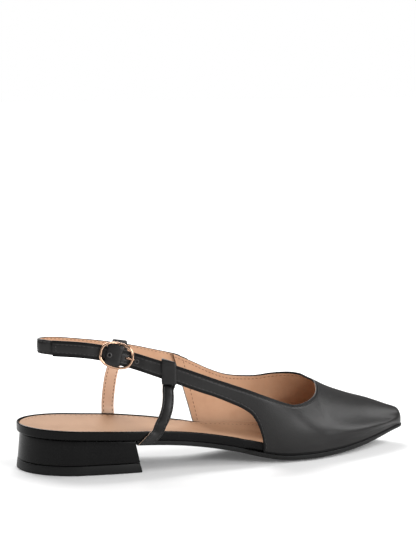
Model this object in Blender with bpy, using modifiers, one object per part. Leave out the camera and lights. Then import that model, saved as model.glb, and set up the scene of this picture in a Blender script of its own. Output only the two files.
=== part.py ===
"""Sling back flat, right shoe: pointed vamp, low block heel and a buckled sling strap.

Metres, +Z up. The shoe is worked out with x from the back of the heel towards the toe,
y from the heel's middle line (lateral is -y, medial is +y) and z from the floor. One empty
then carries every piece, with the middle of the shoe's own box over the origin.
"""
import bmesh
import bpy
import math
from mathutils import Matrix, Vector

# Driving sizes
SOLE_LENGTH = 0.261
BALL_WIDTH = 0.070
HEEL_RISE = 0.0203
TOE_SPRING = 0.0082
BALL_EDGE_LIFT = 0.0012
SOLE_CROWN = 0.0022

OUTSOLE_THICKNESS = 0.0030
TIP_THICKNESS = 0.0018
OUTSOLE_LEDGE = 0.0003
OUTSOLE_SET_IN = 0.0010
FOOTBED_THICKNESS = 0.0060
INSOLE_THICKNESS = 0.0034
RIM_WIDTH = 0.0012
SOCK_THICKNESS = 0.0012
SOCK_SINK = 0.0004
SEAT_DISH = 0.0014

HEEL_LENGTH = 0.0680
BREAST_SLANT = 0.0036
# Room for the slant at the outsole's back end, in outsole thicknesses
BREAST_ROOM = 1.6
HEEL_SET_IN = 0.0008
HEEL_OVERHANG = 0.0011
HEEL_FLARE = 0.0022
TOP_PIECE_HEIGHT = 0.0062
EDGE_ROUND = 0.0005

UPPER_WALL = 0.0016
THROAT_HEIGHT = 0.0428
TOE_WALL = 0.0060
TOE_LEAN = 0.0012
RIDGE_OFFSET = 0.0050
STRAP_HEIGHT = 0.0818
STRAP_WIDTH = 0.0092
STRAP_THICKNESS = 0.0016

STAY_LATERAL_WIDTH = 0.0074
STAY_MEDIAL_WIDTH = 0.0086
STAY_THICKNESS = 0.0013
LOOP_TAIL = 0.0008
LOOP_WIDTH = 0.0092

BUCKLE_LENGTH = 0.0216
BUCKLE_HEIGHT = 0.0165
BUCKLE_WIRE = 0.0014
BUCKLE_DEPTH = 0.0016
BUCKLE_LIFT = 0.0006
BAR_DIAMETER = 0.0012
STRAP_HUMP = 0.0012
STRAP_TROUGH = 0.0009
PRONG_DIAMETER = 0.0012
PRONG_HOLE = 0.0026
# Where the prong comes up through the strap: share of the half ring, from the bar forward
PRONG_RUN = 0.60
# Share of that way where the prong still lies under the strap, and how far it passes the ring,
# in wires
PRONG_LOW = 0.6
PRONG_REACH = 0.8
# How sharply the ring's middle bows inward to hold the bar
RING_BOW = 12
BUCKLE_ALONG = 0.2275
# Height of the buckle as a share of the strap's height, and the fall of its strap
BUCKLE_HIGH = 0.882
BUCKLE_FALL = 0.24

GAP = 0.0003

# Shares of the sole's length where the heel's round ends and the toe's round starts
HEEL_ROUND = 0.134
TOE_ROUND = 0.020
NOSE_ROUND = 0.016
# Exponent of the nose's round: 2 is an ellipse, more is fuller
NOSE_FULL = 2.6
FOOTBED_END = 0.972
# Share of the girth, from the sole's edge up, that is the upright wall
WALL_GIRTH = 0.12
# Shares of the length, before the upper's foot, between which the footbed draws in behind its wall
WRAP_START = 0.052
WRAP_END = 0.022
# Shares of the length where the toe wall starts to lean, is at its most, and the outsole thins
LEAN_START = 0.72
LEAN_END = 0.95
THIN_START = 0.86
# Share of the length over which the footbed's rim thins under the vamp, and its back overhang ends
RIM_FADE = 0.12
BACK_FADE = 0.12
# The sock's dish is this share flatter from the second of these places on
DISH_LOSS = 0.45
DISH_START = 0.25
DISH_END = 0.50
# Height and spread of the crease over the toe wall, shares of the section's height
CREASE_HIGH = 0.33
CREASE_SPREAD = 0.16

# Ways round the shoe
LATERAL = -1
MEDIAL = 1

# Sole outline. along: share of the sole's length. middle, half: shares of the ball width.
OUTLINE = (
    # along, middle, half
    (0.000, 0.043, 0.421),
    (0.076, 0.021, 0.421),
    (0.153, 0.000, 0.421),
    (0.248, -0.021, 0.414),
    (0.324, -0.040, 0.364),
    (0.420, -0.050, 0.302),
    (0.515, -0.036, 0.337),
    (0.630, 0.000, 0.455),
    (0.706, 0.054, 0.498),
    (0.782, 0.100, 0.457),
    (0.859, 0.121, 0.347),
    (0.935, 0.123, 0.182),
    (0.980, 0.117, 0.084),
    (1.000, 0.114, 0.068),
)

# Height of the sole's lower edge. heel: share of the heel's rise. spring: share of the toe
# spring. crown: share of the hang of the sole's middle below its edge.
SOLE_LINE = (
    # along, heel, spring, crown
    (0.000, 1.00, 0.00, 0.10),
    (0.153, 0.90, 0.00, 0.15),
    (0.324, 0.76, 0.00, 0.25),
    (0.420, 0.59, 0.00, 0.40),
    (0.515, 0.36, 0.00, 0.65),
    (0.573, 0.17, 0.00, 0.85),
    (0.630, 0.035, 0.00, 1.00),
    (0.706, 0.000, 0.00, 1.00),
    (0.760, 0.000, 0.03, 1.00),
    (0.820, 0.000, 0.15, 0.95),
    (0.916, 0.000, 0.53, 0.60),
    (1.000, 0.000, 1.00, 0.30),
)

# Form of the upper over the last. ridge: height of its top line over the sole, in throat
# heights. square: exponent of the section. lateral, medial: swell of each wall past the sole's
# edge at half height, shares of the ball width. shoulder: width kept at the top of the toe wall.
# aside: how far the top line lies to the medial side, share of the ridge's offset.
LAST = (
    # along, ridge, square, lateral, medial, shoulder, aside
    (0.080, 2.22, 2.2, -0.260, -0.260, 0.00, 0.40),
    (0.200, 2.18, 2.2, -0.180, -0.150, 0.00, 0.40),
    (0.307, 2.16, 2.2, -0.100, -0.050, 0.00, 0.40),
    (0.420, 2.12, 2.2, 0.031, 0.070, 0.00, 0.40),
    (0.520, 1.96, 2.2, 0.052, 0.075, 0.00, 0.40),
    (0.580, 1.76, 2.1, 0.040, 0.050, 0.00, 0.45),
    (0.650, 1.46, 1.8, 0.010, 0.020, 0.00, 0.70),
    (0.700, 1.20, 1.6, 0.000, 0.000, 0.02, 0.90),
    (0.747, 1.000, 1.5, -0.010, 0.000, 0.03, 1.00),
    (0.772, 0.904, 1.5, -0.010, 0.000, 0.04, 1.00),
    (0.799, 0.810, 1.5, -0.010, 0.000, 0.05, 0.95),
    (0.854, 0.652, 1.5, -0.005, 0.000, 0.06, 0.75),
    (0.910, 0.507, 1.6, 0.000, 0.000, 0.06, 0.55),
    (0.966, 0.324, 1.8, 0.000, 0.000, 0.04, 0.40),
    (1.000, 0.215, 2.0, 0.000, 0.000, 0.00, 0.40),
)

# Pattern of the upper: each row is a line from its top edge down to its lower edge.
# high: share of the strap's height. drop: strap widths down from the top edge, or None where
# the line ends on the sole.
WING = (
    # topAlong, high, lowAlong, drop
    (0.080, 0.998, 0.080, 1.00),
    (0.145, 0.985, 0.145, 1.00),
    (0.192, 0.962, 0.191, 1.00),
    (0.240, 0.926, 0.238, 1.02),
    (0.285, 0.884, 0.283, 1.05),
    (0.330, 0.836, 0.328, 1.10),
    (0.377, 0.785, 0.374, 1.15),
    (0.425, 0.728, 0.420, 1.15),
    (0.472, 0.671, 0.464, 1.10),
    (0.520, 0.615, 0.504, 1.10),
    (0.558, 0.570, 0.531, 1.08),
    (0.588, 0.532, 0.552, 1.18),
    (0.610, 0.504, 0.566, 1.54),
    (0.630, 0.479, 0.576, 2.06),
    (0.648, 0.458, 0.582, 2.64),
    (0.662, 0.444, 0.583, None),
)
VAMP_LATERAL = (
    (0.662, 0.444, 0.583),
    (0.680, 0.440, 0.630),
    (0.700, 0.442, 0.700),
    (0.718, 0.448, 0.770),
    (0.734, 0.460, 0.840),
    (0.745, 0.475, 0.905),
    (0.7525, 0.491, 0.955),
)
NOSE = (
    # topAlong, topGirth, lowAlong, lowGirth
    (0.7575, -0.242, 0.9820, -1.00),
    (0.7605, -0.190, 0.9960, -1.00),
    (0.7625, -0.135, 1.0000, -1.00),
    (0.7637, -0.075, 1.0000, -0.60),
    (0.7637, -0.015, 1.0000, 0.00),
    (0.7622, 0.026, 1.0000, 0.60),
    (0.7580, 0.052, 1.0000, 1.00),
    (0.7510, 0.072, 0.9960, 1.00),
    (0.7430, 0.090, 0.9820, 1.00),
)
VAMP_MEDIAL = (
    (0.7345, 0.5940, 0.955),
    (0.7235, 0.6025, 0.905),
    (0.709, 0.6055, 0.840),
    (0.691, 0.6000, 0.770),
    (0.668, 0.5895, 0.700),
    (0.638, 0.5735, 0.640),
    (0.605, 0.5705, 0.590),
    (0.570, 0.580, 0.555),
    (0.535, 0.604, 0.525),
    (0.500, 0.649, 0.508),
    (0.465, 0.705, 0.492),
    (0.432, 0.758, 0.481),
    (0.402, 0.803, 0.472),
)

# Sling strap from the medial quarter round the heel to the buckle. aside: shares of the ball
# width from the heel's middle line. high: top edge, share of the strap's height.
SLING = (
    # along, aside, high
    (0.343, 0.277, 0.852),
    (0.289, 0.237, 0.898),
    (0.212, 0.193, 0.949),
    (0.155, 0.170, 0.977),
    (0.110, 0.142, 0.998),
    (0.078, 0.112, 1.008),
    (0.058, 0.066, 1.012),
    (0.052, 0.024, 1.012),
    (0.056, -0.014, 1.010),
    (0.067, -0.032, 1.005),
)
SLING_ROOT = 0.436
# Steps ahead of the root and of the first row, shares of the length
SLING_LEAD = 0.017
SLING_STEP = 0.002
# Strap thicknesses from the quarter's face to the strap's middle
SLING_STAND = 0.62
# Start of the stretch behind the buckled strap, and the shares of that stretch with a point
OVERLAP_START = 0.004
OVERLAP_POINTS = (0.0, 0.2, 0.4, 0.55, 0.68, 0.78, 0.86, 0.93, 1.0)

# Stays from the footbed's side up to the straps. aside: share of the ball width. high: share of
# the strap's height.
STAY_LATERAL = (
    # along, aside, high
    (0.3204, -0.464, 0.367),
    (0.330, -0.464, 0.426),
    (0.338, -0.448, 0.493),
    (0.343, -0.412, 0.563),
    (0.346, -0.360, 0.620),
)
STAY_MEDIAL = (
    (0.243, 0.422, 0.390),
    (0.244, 0.405, 0.471),
    (0.245, 0.362, 0.563),
    (0.247, 0.308, 0.659),
    (0.254, 0.262, 0.751),
)
STAY_LATERAL_ALONG = 0.352
STAY_MEDIAL_ALONG = 0.267
# Foot of a stay on the footbed's side. back: share of the sole's length behind its first row.
# drop: footbed thicknesses below the rim.
STAY_FOOT = (
    # back, drop
    (0.0334, 1.30),
    (0.0254, 0.95),
    (0.0150, 0.50),
    (0.0049, 0.00),
)
# How far each foot runs back: share of the table's
LATERAL_LEAN = 1.0
MEDIAL_LEAN = 0.15
# Gaps of room over the strap inside the loop, and the round of its two folds
LOOP_ROOM = 2.4
FOLD_ROUND = 0.6
# Share by which the loop's lower end turns from the strap's slope to the level
LOOP_LEVEL = 0.8

# Share of the length up to which the strap's mesh is fine enough for its waves
WAVY_END = 0.30

# Depth to which the upper's sheet runs down before it is trimmed
SKIRT = 0.003

# Mesh counts
HEEL_STEPS = 7
BODY_STEPS = 26
TOE_STEPS = 4
ACROSS = 8
WALL_ROWS = 8
ROW_CROWDING = 1.8

# Surface colours: red, green, blue, roughness, metallic
FINISH = {
    "leather": (0.018, 0.017, 0.018, 0.35, 0.0),
    "lining": (0.62, 0.36, 0.22, 0.60, 0.0),
    "sole": (0.012, 0.012, 0.012, 0.55, 0.0),
    "heel": (0.015, 0.014, 0.015, 0.25, 0.0),
    "metal": (0.83, 0.55, 0.40, 0.22, 1.0),
}


def clamp(value, low, high):
    return max(low, min(high, value))


def ease(start, end, value):
    share = clamp((value - start) / (end - start), 0.0, 1.0)
    return share * share * (3.0 - 2.0 * share)


def tableRow(rows, at):
    """All the columns of a table at one value of its first column, on a smooth curve."""
    at = clamp(at, rows[0][0], rows[-1][0])
    index = 0
    while index < len(rows) - 2 and rows[index + 1][0] < at:
        index += 1
    low, high = rows[index], rows[index + 1]
    span = high[0] - low[0]
    before = rows[index - 1] if index > 0 else low
    after = rows[index + 2] if index + 2 < len(rows) else high
    share = (at - low[0]) / span
    result = [at]
    for column in range(1, len(low)):
        slopeLow = (high[column] - before[column]) / (high[0] - before[0])
        slopeHigh = (after[column] - low[column]) / (after[0] - low[0])
        result.append(hermite(low[column], high[column], slopeLow * span, slopeHigh * span, share))
    return result


def hermite(start, end, slopeStart, slopeEnd, share):
    square, cube = share * share, share ** 3
    return (start * (2 * cube - 3 * square + 1) + slopeStart * (cube - 2 * square + share)
            + end * (3 * square - 2 * cube) + slopeEnd * (cube - square))


def throughPoints(points, steps):
    """Points on a smooth curve through a list of points, with some steps between each two."""
    result = []
    last = len(points) - 1
    for index in range(last):
        before = points[max(index - 1, 0)]
        low, high = points[index], points[index + 1]
        after = points[min(index + 2, last)]
        for step in range(steps):
            share = step / steps
            result.append([hermite(low[k], high[k], (high[k] - before[k]) / 2.0,
                                   (after[k] - low[k]) / 2.0, share) for k in range(len(low))])
    result.append(list(points[last]))
    return result


# The sole's outline and heights

def endRound(along):
    if along < HEEL_ROUND:
        return math.sqrt(max(0.0, 1.0 - (1.0 - along / HEEL_ROUND) ** 2))
    start = 1.0 - TOE_ROUND
    if along > start:
        return math.sqrt(max(0.0, 1.0 - ((along - start) / TOE_ROUND) ** 2))
    return 1.0


def middle(along):
    return tableRow(OUTLINE, along)[1] * BALL_WIDTH


def halfWidth(along):
    return tableRow(OUTLINE, along)[2] * BALL_WIDTH * endRound(clamp(along, 0.0, 1.0))


def edgePoint(along, side, inset=0.0):
    """Point of the sole's outline, moved in along the outline's own normal."""
    step = 1e-6
    low, high = clamp(along - step, 0.0, 1.0), clamp(along + step, 0.0, 1.0)
    here = Vector((along * SOLE_LENGTH, middle(along) + side * halfWidth(along)))
    run = Vector(((high - low) * SOLE_LENGTH, middle(high) - middle(low)
                  + side * (halfWidth(high) - halfWidth(low)))).normalized()
    return here - Vector((-run.y, run.x)) * side * inset


def soleEdge(along):
    row = tableRow(SOLE_LINE, along)
    rise = row[1] * (HEEL_RISE - BALL_EDGE_LIFT) + row[2] * TOE_SPRING
    return BALL_EDGE_LIFT + rise


def acrossShare(x, y):
    along = clamp(x / SOLE_LENGTH, 0.004, 0.996)
    return clamp((y - middle(along)) / max(halfWidth(along), 0.001), -1.0, 1.0)


def soleBottom(x, y):
    along = clamp(x / SOLE_LENGTH, 0.0, 1.0)
    hang = SOLE_CROWN * tableRow(SOLE_LINE, along)[3] * (1.0 - acrossShare(x, y) ** 2)
    thinned = (OUTSOLE_THICKNESS - TIP_THICKNESS) * ease(THIN_START, 1.0, along)
    return max(soleEdge(along) + thinned - hang, 0.0)


def soleTop(x, y):
    return soleEdge(clamp(x / SOLE_LENGTH, 0.0, 1.0)) + OUTSOLE_THICKNESS


def footbedBottom(x, y):
    return soleTop(x, y) + GAP


def rimTop(x, y):
    """Top of the footbed's rim: full at the waist and heel, thinner inside the vamp."""
    thin = ease(WING[-1][2], WING[-1][2] + RIM_FADE, x / SOLE_LENGTH)
    return footbedBottom(x, y) + FOOTBED_THICKNESS - thin * (FOOTBED_THICKNESS - INSOLE_THICKNESS)


def sockFloor(x, y):
    """Floor of the shallow seat that the sock lies in, dished towards the middle."""
    along = clamp(x / SOLE_LENGTH, 0.0, 1.0)
    flatter = 1.0 - DISH_LOSS * ease(DISH_START, DISH_END, along)
    dish = SEAT_DISH * flatter * (1.0 - acrossShare(x, y) ** 2)
    return rimTop(x, y) - SOCK_SINK - SOCK_THICKNESS - GAP - dish


# Where the upper wraps the footbed, the footbed is narrower by the upper's wall

def wrapped(along, side):
    foot = WING[-1][2] if side == LATERAL else VAMP_MEDIAL[-1][2]
    return ease(foot - WRAP_START, foot - WRAP_END, along)


def footbedInset(along, side):
    """The footbed draws in behind the upper's wall, more where the toe wall leans over it."""
    lean = TOE_LEAN * ease(LEAN_START, LEAN_END, along)
    back = HEEL_OVERHANG * (1.0 - ease(0.0, BACK_FADE, along))
    return wrapped(along, side) * (UPPER_WALL + 3 * GAP) + lean - back


def outsoleInset(along, side):
    share = wrapped(along, side)
    return OUTSOLE_SET_IN * (1.0 - share) - OUTSOLE_LEDGE * share


# Makers of solids

def newObject(name, mesh, finish):
    colour = FINISH[finish]
    material = bpy.data.materials.new(name + "_" + finish)
    material.use_nodes = True
    shader = material.node_tree.nodes["Principled BSDF"]
    shader.inputs["Base Color"].default_value = (*colour[:3], 1.0)
    shader.inputs["Roughness"].default_value = colour[3]
    shader.inputs["Metallic"].default_value = colour[4]
    material.diffuse_color = (*colour[:3], 1.0)
    mesh.materials.append(material)
    piece = bpy.data.objects.new(name, mesh)
    collection.objects.link(piece)
    return piece


def facing(build):
    """Above zero where a body's faces, or those of a shell open below, look outward."""
    middleLow = sum((v.co for v in build.verts), Vector()) / len(build.verts)
    closed = all(edge.is_manifold for edge in build.edges)
    if closed:
        return build.calc_volume(signed=True)
    return sum(face.calc_area() * face.normal.dot(face.calc_center_median() - middleLow)
               for face in build.faces)


def meshFrom(name, points, faces, weld=2e-5):
    build = bmesh.new()
    made = [build.verts.new(point) for point in points]
    for face in faces:
        build.faces.new([made[index] for index in face])
    bmesh.ops.remove_doubles(build, verts=build.verts, dist=weld)
    bmesh.ops.recalc_face_normals(build, faces=build.faces)
    if facing(build) < 0:
        bmesh.ops.reverse_faces(build, faces=build.faces)
    mesh = bpy.data.meshes.new(name)
    build.to_mesh(mesh)
    build.free()
    mesh.shade_smooth()
    mesh.set_sharp_from_angle(angle=math.radians(40))
    return mesh


def soleStations(start, end):
    """Shares of the length that crowd where the outline turns."""
    stations = [HEEL_ROUND * (1.0 - math.cos(math.pi / 2 * k / HEEL_STEPS)) for k in range(HEEL_STEPS)]
    body = 1.0 - TOE_ROUND - HEEL_ROUND
    stations += [HEEL_ROUND + body * k / BODY_STEPS for k in range(BODY_STEPS)]
    stations += [1.0 - TOE_ROUND * (1.0 - math.sin(math.pi / 2 * k / TOE_STEPS))
                 for k in range(TOE_STEPS + 1)]
    margin = 0.5 * body / BODY_STEPS
    inner = [s for s in stations if start + margin < s < end - margin or start == 0.0 and s < 0.2
             or end == 1.0 and s > 0.9]
    inner = [s for s in inner if start < s < end]
    return [start] + inner + [end]


def plateGrid(stations, inset, height, backX=None, frontX=None):
    """Grid of points over the sole's outline. A flat end takes its own x."""
    grid = []
    for along in stations:
        lateral = edgePoint(along, LATERAL, inset(along, LATERAL))
        medial = edgePoint(along, MEDIAL, inset(along, MEDIAL))
        if along == stations[0] and backX is not None:
            lateral.x = medial.x = backX
        if along == stations[-1] and frontX is not None:
            lateral.x = medial.x = frontX
        line = []
        for step in range(ACROSS + 1):
            flat = lateral.lerp(medial, step / ACROSS)
            line.append(Vector((flat.x, flat.y, height(flat.x, flat.y))))
        grid.append(line)
    return grid


def plateSolid(name, finish, grids):
    """Closed solid from a stack of plate grids: the first is its top and the last its bottom."""
    rows, columns = len(grids[0]), len(grids[0][0])
    points, faces, number = [], [], {}

    def index(level, row, column):
        key = (level, row, column)
        if key not in number:
            number[key] = len(points)
            points.append(grids[level][row][column])
        return number[key]

    rim = [(0, c) for c in range(columns - 1)] + [(r, columns - 1) for r in range(rows - 1)]
    rim += [(rows - 1, c) for c in range(columns - 1, 0, -1)] + [(r, 0) for r in range(rows - 1, 0, -1)]
    bottom = len(grids) - 1
    for row in range(rows - 1):
        for column in range(columns - 1):
            ring = [(row, column), (row + 1, column), (row + 1, column + 1), (row, column + 1)]
            faces.append([index(0, *corner) for corner in ring])
            faces.append([index(bottom, *corner) for corner in reversed(ring)])
    for level in range(bottom):
        for here, there in zip(rim, rim[1:] + rim[:1]):
            faces.append([index(level, *here), index(level, *there),
                          index(level + 1, *there), index(level + 1, *here)])
    return newObject(name, meshFrom(name, points, faces), finish)


def ribbon(name, finish, path, outward, width, thickness, widths=None, slants=None):
    """Strap of a rectangular section along a path, with its face turned outward. slants: ways
    its width may run, other than square to the path."""
    points, faces = [], []
    last = len(path) - 1
    for index, centre in enumerate(path):
        run = (path[min(index + 1, last)] - path[max(index - 1, 0)]).normalized()
        face = outward[index] - run * outward[index].dot(run)
        face.normalize()
        side = run.cross(face)
        if slants and slants[index]:
            side = slants[index] * (1.0 if side.dot(slants[index]) > 0 else -1.0)
            face = side.cross(run).normalized()
        half = 0.5 * width * (widths[index] if widths else 1.0)
        for up, out in ((-1, -1), (1, -1), (1, 1), (-1, 1)):
            points.append(centre + side * half * up + face * thickness * 0.5 * out)
    for index in range(last):
        for corner in range(4):
            a, b = index * 4 + corner, index * 4 + (corner + 1) % 4
            faces.append([a, b, b + 4, a + 4])
    faces.append([0, 1, 2, 3])
    faces.append([last * 4 + k for k in (3, 2, 1, 0)])
    return newObject(name, meshFrom(name, points, faces), finish)


def wire(name, finish, path, acrossAxes, closed, sides=8):
    """Bar of an oval section along a path. acrossAxes gives two half axes at each point."""
    points, faces = [], []
    count = len(path)
    for centre, (first, second) in zip(path, acrossAxes):
        for step in range(sides):
            turn = 2 * math.pi * step / sides
            points.append(centre + first * math.cos(turn) + second * math.sin(turn))
    for index in range(count if closed else count - 1):
        following = (index + 1) % count
        for step in range(sides):
            after = (step + 1) % sides
            faces.append([index * sides + step, index * sides + after,
                          following * sides + after, following * sides + step])
    if not closed:
        faces.append(list(range(sides)))
        faces.append([(count - 1) * sides + step for step in range(sides)])
    return newObject(name, meshFrom(name, points, faces), finish)


# The upper's form

def noseRound(along):
    start = 1.0 - NOSE_ROUND
    if along <= start:
        return 1.0
    return max(0.0, 1.0 - ((along - start) / NOSE_ROUND) ** NOSE_FULL) ** (1.0 / NOSE_FULL)


def lastSection(along):
    row = tableRow(LAST, along)
    foot = soleEdge(clamp(along, 0.0, 1.0)) + OUTSOLE_THICKNESS + GAP
    ridge = row[1] * THROAT_HEIGHT * noseRound(along)
    wall = min(TOE_WALL, 0.5 * ridge)
    return foot, ridge, wall, row[2], (row[3], row[4]), row[5], row[6] * RIDGE_OFFSET


def strapWave(along, level):
    """How far the strap stands out over the buckle's bar, and dips under the frame's sides."""
    half = 0.5 * (BUCKLE_LENGTH - BUCKLE_WIRE)
    skew = (level - BUCKLE_HIGH * STRAP_HEIGHT) * BUCKLE_FALL
    reach = abs((along - BUCKLE_ALONG) * SOLE_LENGTH - skew) / half
    if reach < 1.0:
        swing = 0.5 * (STRAP_HUMP + STRAP_TROUGH)
        return STRAP_HUMP - swing + swing * math.cos(math.pi * reach)
    if reach < 2.0:
        return -0.5 * STRAP_TROUGH * (1.0 + math.cos(math.pi * (reach - 1.0)))
    return 0.0


def strapDip(reach):
    """How far the waved strap lies below its crest, at a share of the half ring from the bar."""
    return 0.5 * (STRAP_HUMP + STRAP_TROUGH) * (1.0 - math.cos(math.pi * reach))


def lastPoint(along, girth):
    """Point of the upper's outer face. girth: -1 lateral sole edge, 0 top line, 1 medial edge."""
    foot, ridge, wall, square, swell, shoulder, aside = lastSection(along)
    side = LATERAL if girth < 0 else MEDIAL
    turn = clamp((1.0 - abs(girth) - WALL_GIRTH) / (1.0 - WALL_GIRTH), 0.0, 1.0) * math.pi / 2
    rise = math.sin(turn) ** (2.0 / square)
    reach = max(math.cos(turn), 0.0) ** (2.0 / square)
    height = wall * clamp((1.0 - abs(girth)) / WALL_GIRTH, 0.0, 1.0) + (ridge - wall) * rise
    share = height / max(ridge, 1e-6)
    edge = edgePoint(clamp(along, 0.0, 1.0), side, GAP)
    top = middle(along) + aside * noseRound(along)
    half = side * (edge.y - top)
    bulge = swell[0 if side == LATERAL else 1] * math.sin(math.pi * share)
    crease = shoulder * math.exp(-((share - CREASE_HIGH) / CREASE_SPREAD) ** 2)
    spread = (bulge + crease) * BALL_WIDTH * endRound(clamp(along, 0.0, 1.0))
    if side == LATERAL:
        spread += strapWave(along, foot + height)
    ridgeX = along * SOLE_LENGTH - GAP * (1.0 - noseRound(along))
    x = edge.x * reach + ridgeX * (1.0 - reach)
    return Vector((x, top + side * (half * reach + spread), foot + height))


def girthAt(along, height, side):
    foot, ridge, wall, square = lastSection(along)[:4]
    if height < foot + wall:
        return side * (1.0 - WALL_GIRTH * clamp((height - foot) / wall, 0.0, 1.0))
    rise = clamp((height - foot - wall) / (ridge - wall), 0.0, 1.0)
    turn = math.asin(rise ** (square / 2.0)) / (math.pi / 2)
    return side * (1.0 - WALL_GIRTH - (1.0 - WALL_GIRTH) * turn)


def patternLine(topAlong, high, lowAlong, drop, side):
    top = high * STRAP_HEIGHT
    topGirth = girthAt(topAlong, top, side)
    lowGirth = side if drop is None else girthAt(lowAlong, top - drop * STRAP_WIDTH, side)
    return (topAlong, topGirth, lowAlong, float(lowGirth))


def upperLines():
    """Lines of the pattern from the strap's end over the vamp to the medial quarter."""
    wing = [patternLine(*row, LATERAL) for row in WING]
    lateral = [patternLine(*row, None, LATERAL) for row in VAMP_LATERAL]
    medial = [patternLine(*row, None, MEDIAL) for row in VAMP_MEDIAL]
    strap = [row for row in wing if row[0] < WAVY_END]
    rest = wing[len(strap) - 1:]
    wingLines = throughPoints(strap, 6)[:-1] + throughPoints(rest, 2)[:-1]
    return wingLines + throughPoints(lateral, 2) + list(NOSE) + throughPoints(medial, 2)


def makeUpper():
    """One sheet over the last, thickened inward and trimmed level with the sole's top."""
    lines = upperLines()
    points, faces, skirt = [], [], []
    for topAlong, topGirth, lowAlong, lowGirth in lines:
        for row in range(WALL_ROWS + 1):
            share = (row / WALL_ROWS) ** ROW_CROWDING
            along = lowAlong + (topAlong - lowAlong) * share
            girth = lowGirth + (topGirth - lowGirth) * share
            points.append(lastPoint(min(along, 1.0), clamp(girth, -1.0, 1.0)))
    step = WALL_ROWS + 1
    for column in range(len(lines) - 1):
        for row in range(WALL_ROWS):
            a = column * step + row
            faces.append([a, a + step, a + step + 1, a + 1])
    for column, line in enumerate(lines):
        if abs(line[3]) > 0.999 and line[2] < 1.0 or line[3] == 0.0:
            skirt.append((column * step, len(points)))
            points.append(points[column * step] - Vector((0.0, 0.0, SKIRT)))
    for (here, hereLow), (there, thereLow) in zip(skirt, skirt[1:]):
        faces.append([hereLow, thereLow, there, here])
    piece = newObject("upper", meshFrom("upper", points, faces), "leather")
    wall = piece.modifiers.new("wall", "SOLIDIFY")
    wall.thickness = UPPER_WALL
    wall.offset = -1.0
    trim = piece.modifiers.new("trim", "BOOLEAN")
    trim.operation = "DIFFERENCE"
    trim.object = trimBlock()
    return piece


def trimBlock():
    """Everything below the gap over the sole's top, from the waist forward."""
    stations = soleStations(0.35, 1.0)
    margin = -0.012

    def level(height):
        return plateGrid(stations, lambda a, s: margin, height)

    block = plateSolid("trim_block", "sole", [level(footbedBottom), level(lambda x, y: -0.02)])
    asCutter(block)
    return block


# Straps that follow the upper's form

def strapFrame(along, depth):
    """Middle of the lateral strap at a depth under its outer face, with its three axes."""
    rows = [(line[0], line[1], line[3]) for line in WING[:-1]]
    step = 0.008

    def face(share, below):
        _, top, drop = tableRow(rows, share)
        height = top * STRAP_HEIGHT - below * drop * STRAP_WIDTH
        return lastPoint(share, girthAt(share, height, LATERAL))

    centre = face(along, 0.5)
    run = (face(along + step, 0.5) - face(along - step, 0.5)).normalized()
    rise = (face(along, 0.0) - face(along, 1.0)).normalized()
    out = run.cross(rise).normalized()
    if out.y > 0:
        out = -out
    up = out.cross(run)
    if up.z < 0:
        up = -up
    return centre - out * depth, run, up, out


def slingPath():
    """Path of the sling strap's middle, and the way its face looks at each point."""
    lift = 0.5 * STRAP_WIDTH
    depth = UPPER_WALL + 2 * GAP + 0.5 * STRAP_THICKNESS
    rootRows = [row for row in VAMP_MEDIAL if row[0] <= SLING_ROOT + SLING_STEP]
    heights = sorted((row[0], row[1]) for row in VAMP_MEDIAL)
    points = []
    for along in (SLING_ROOT, SLING_ROOT - SLING_LEAD, rootRows[-1][0] + SLING_STEP):
        top = tableRow(heights, along)[1] * STRAP_HEIGHT
        point = lastPoint(along, girthAt(along, top - lift, MEDIAL))
        point.y += GAP + SLING_STAND * STRAP_THICKNESS
        points.append((*point, 0.0))
    for along, aside, high in SLING:
        points.append((along * SOLE_LENGTH, aside * BALL_WIDTH, high * STRAP_HEIGHT - lift, 0.0))
    bar = BUCKLE_ALONG - (0.5 * BAR_DIAMETER + 2 * GAP) / SOLE_LENGTH
    start = WING[0][0] + OVERLAP_START
    for share in OVERLAP_POINTS:
        centre, _, _, out = strapFrame(start + (bar - start) * share, depth)
        points.append((*centre, out.z / out.xy.length))
    smooth = throughPoints(points, 3)
    path = [Vector(point[:3]) for point in smooth]
    outward = []
    for index, point in enumerate(smooth):
        run = path[min(index + 1, len(path) - 1)] - path[max(index - 1, 0)]
        level = Vector((run.y, -run.x, 0.0)).normalized()
        outward.append(level + Vector((0.0, 0.0, point[3])))
    return path, outward


def makeSling():
    path, outward = slingPath()
    return ribbon("sling_strap", "leather", path, outward, STRAP_WIDTH, STRAP_THICKNESS)


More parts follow.
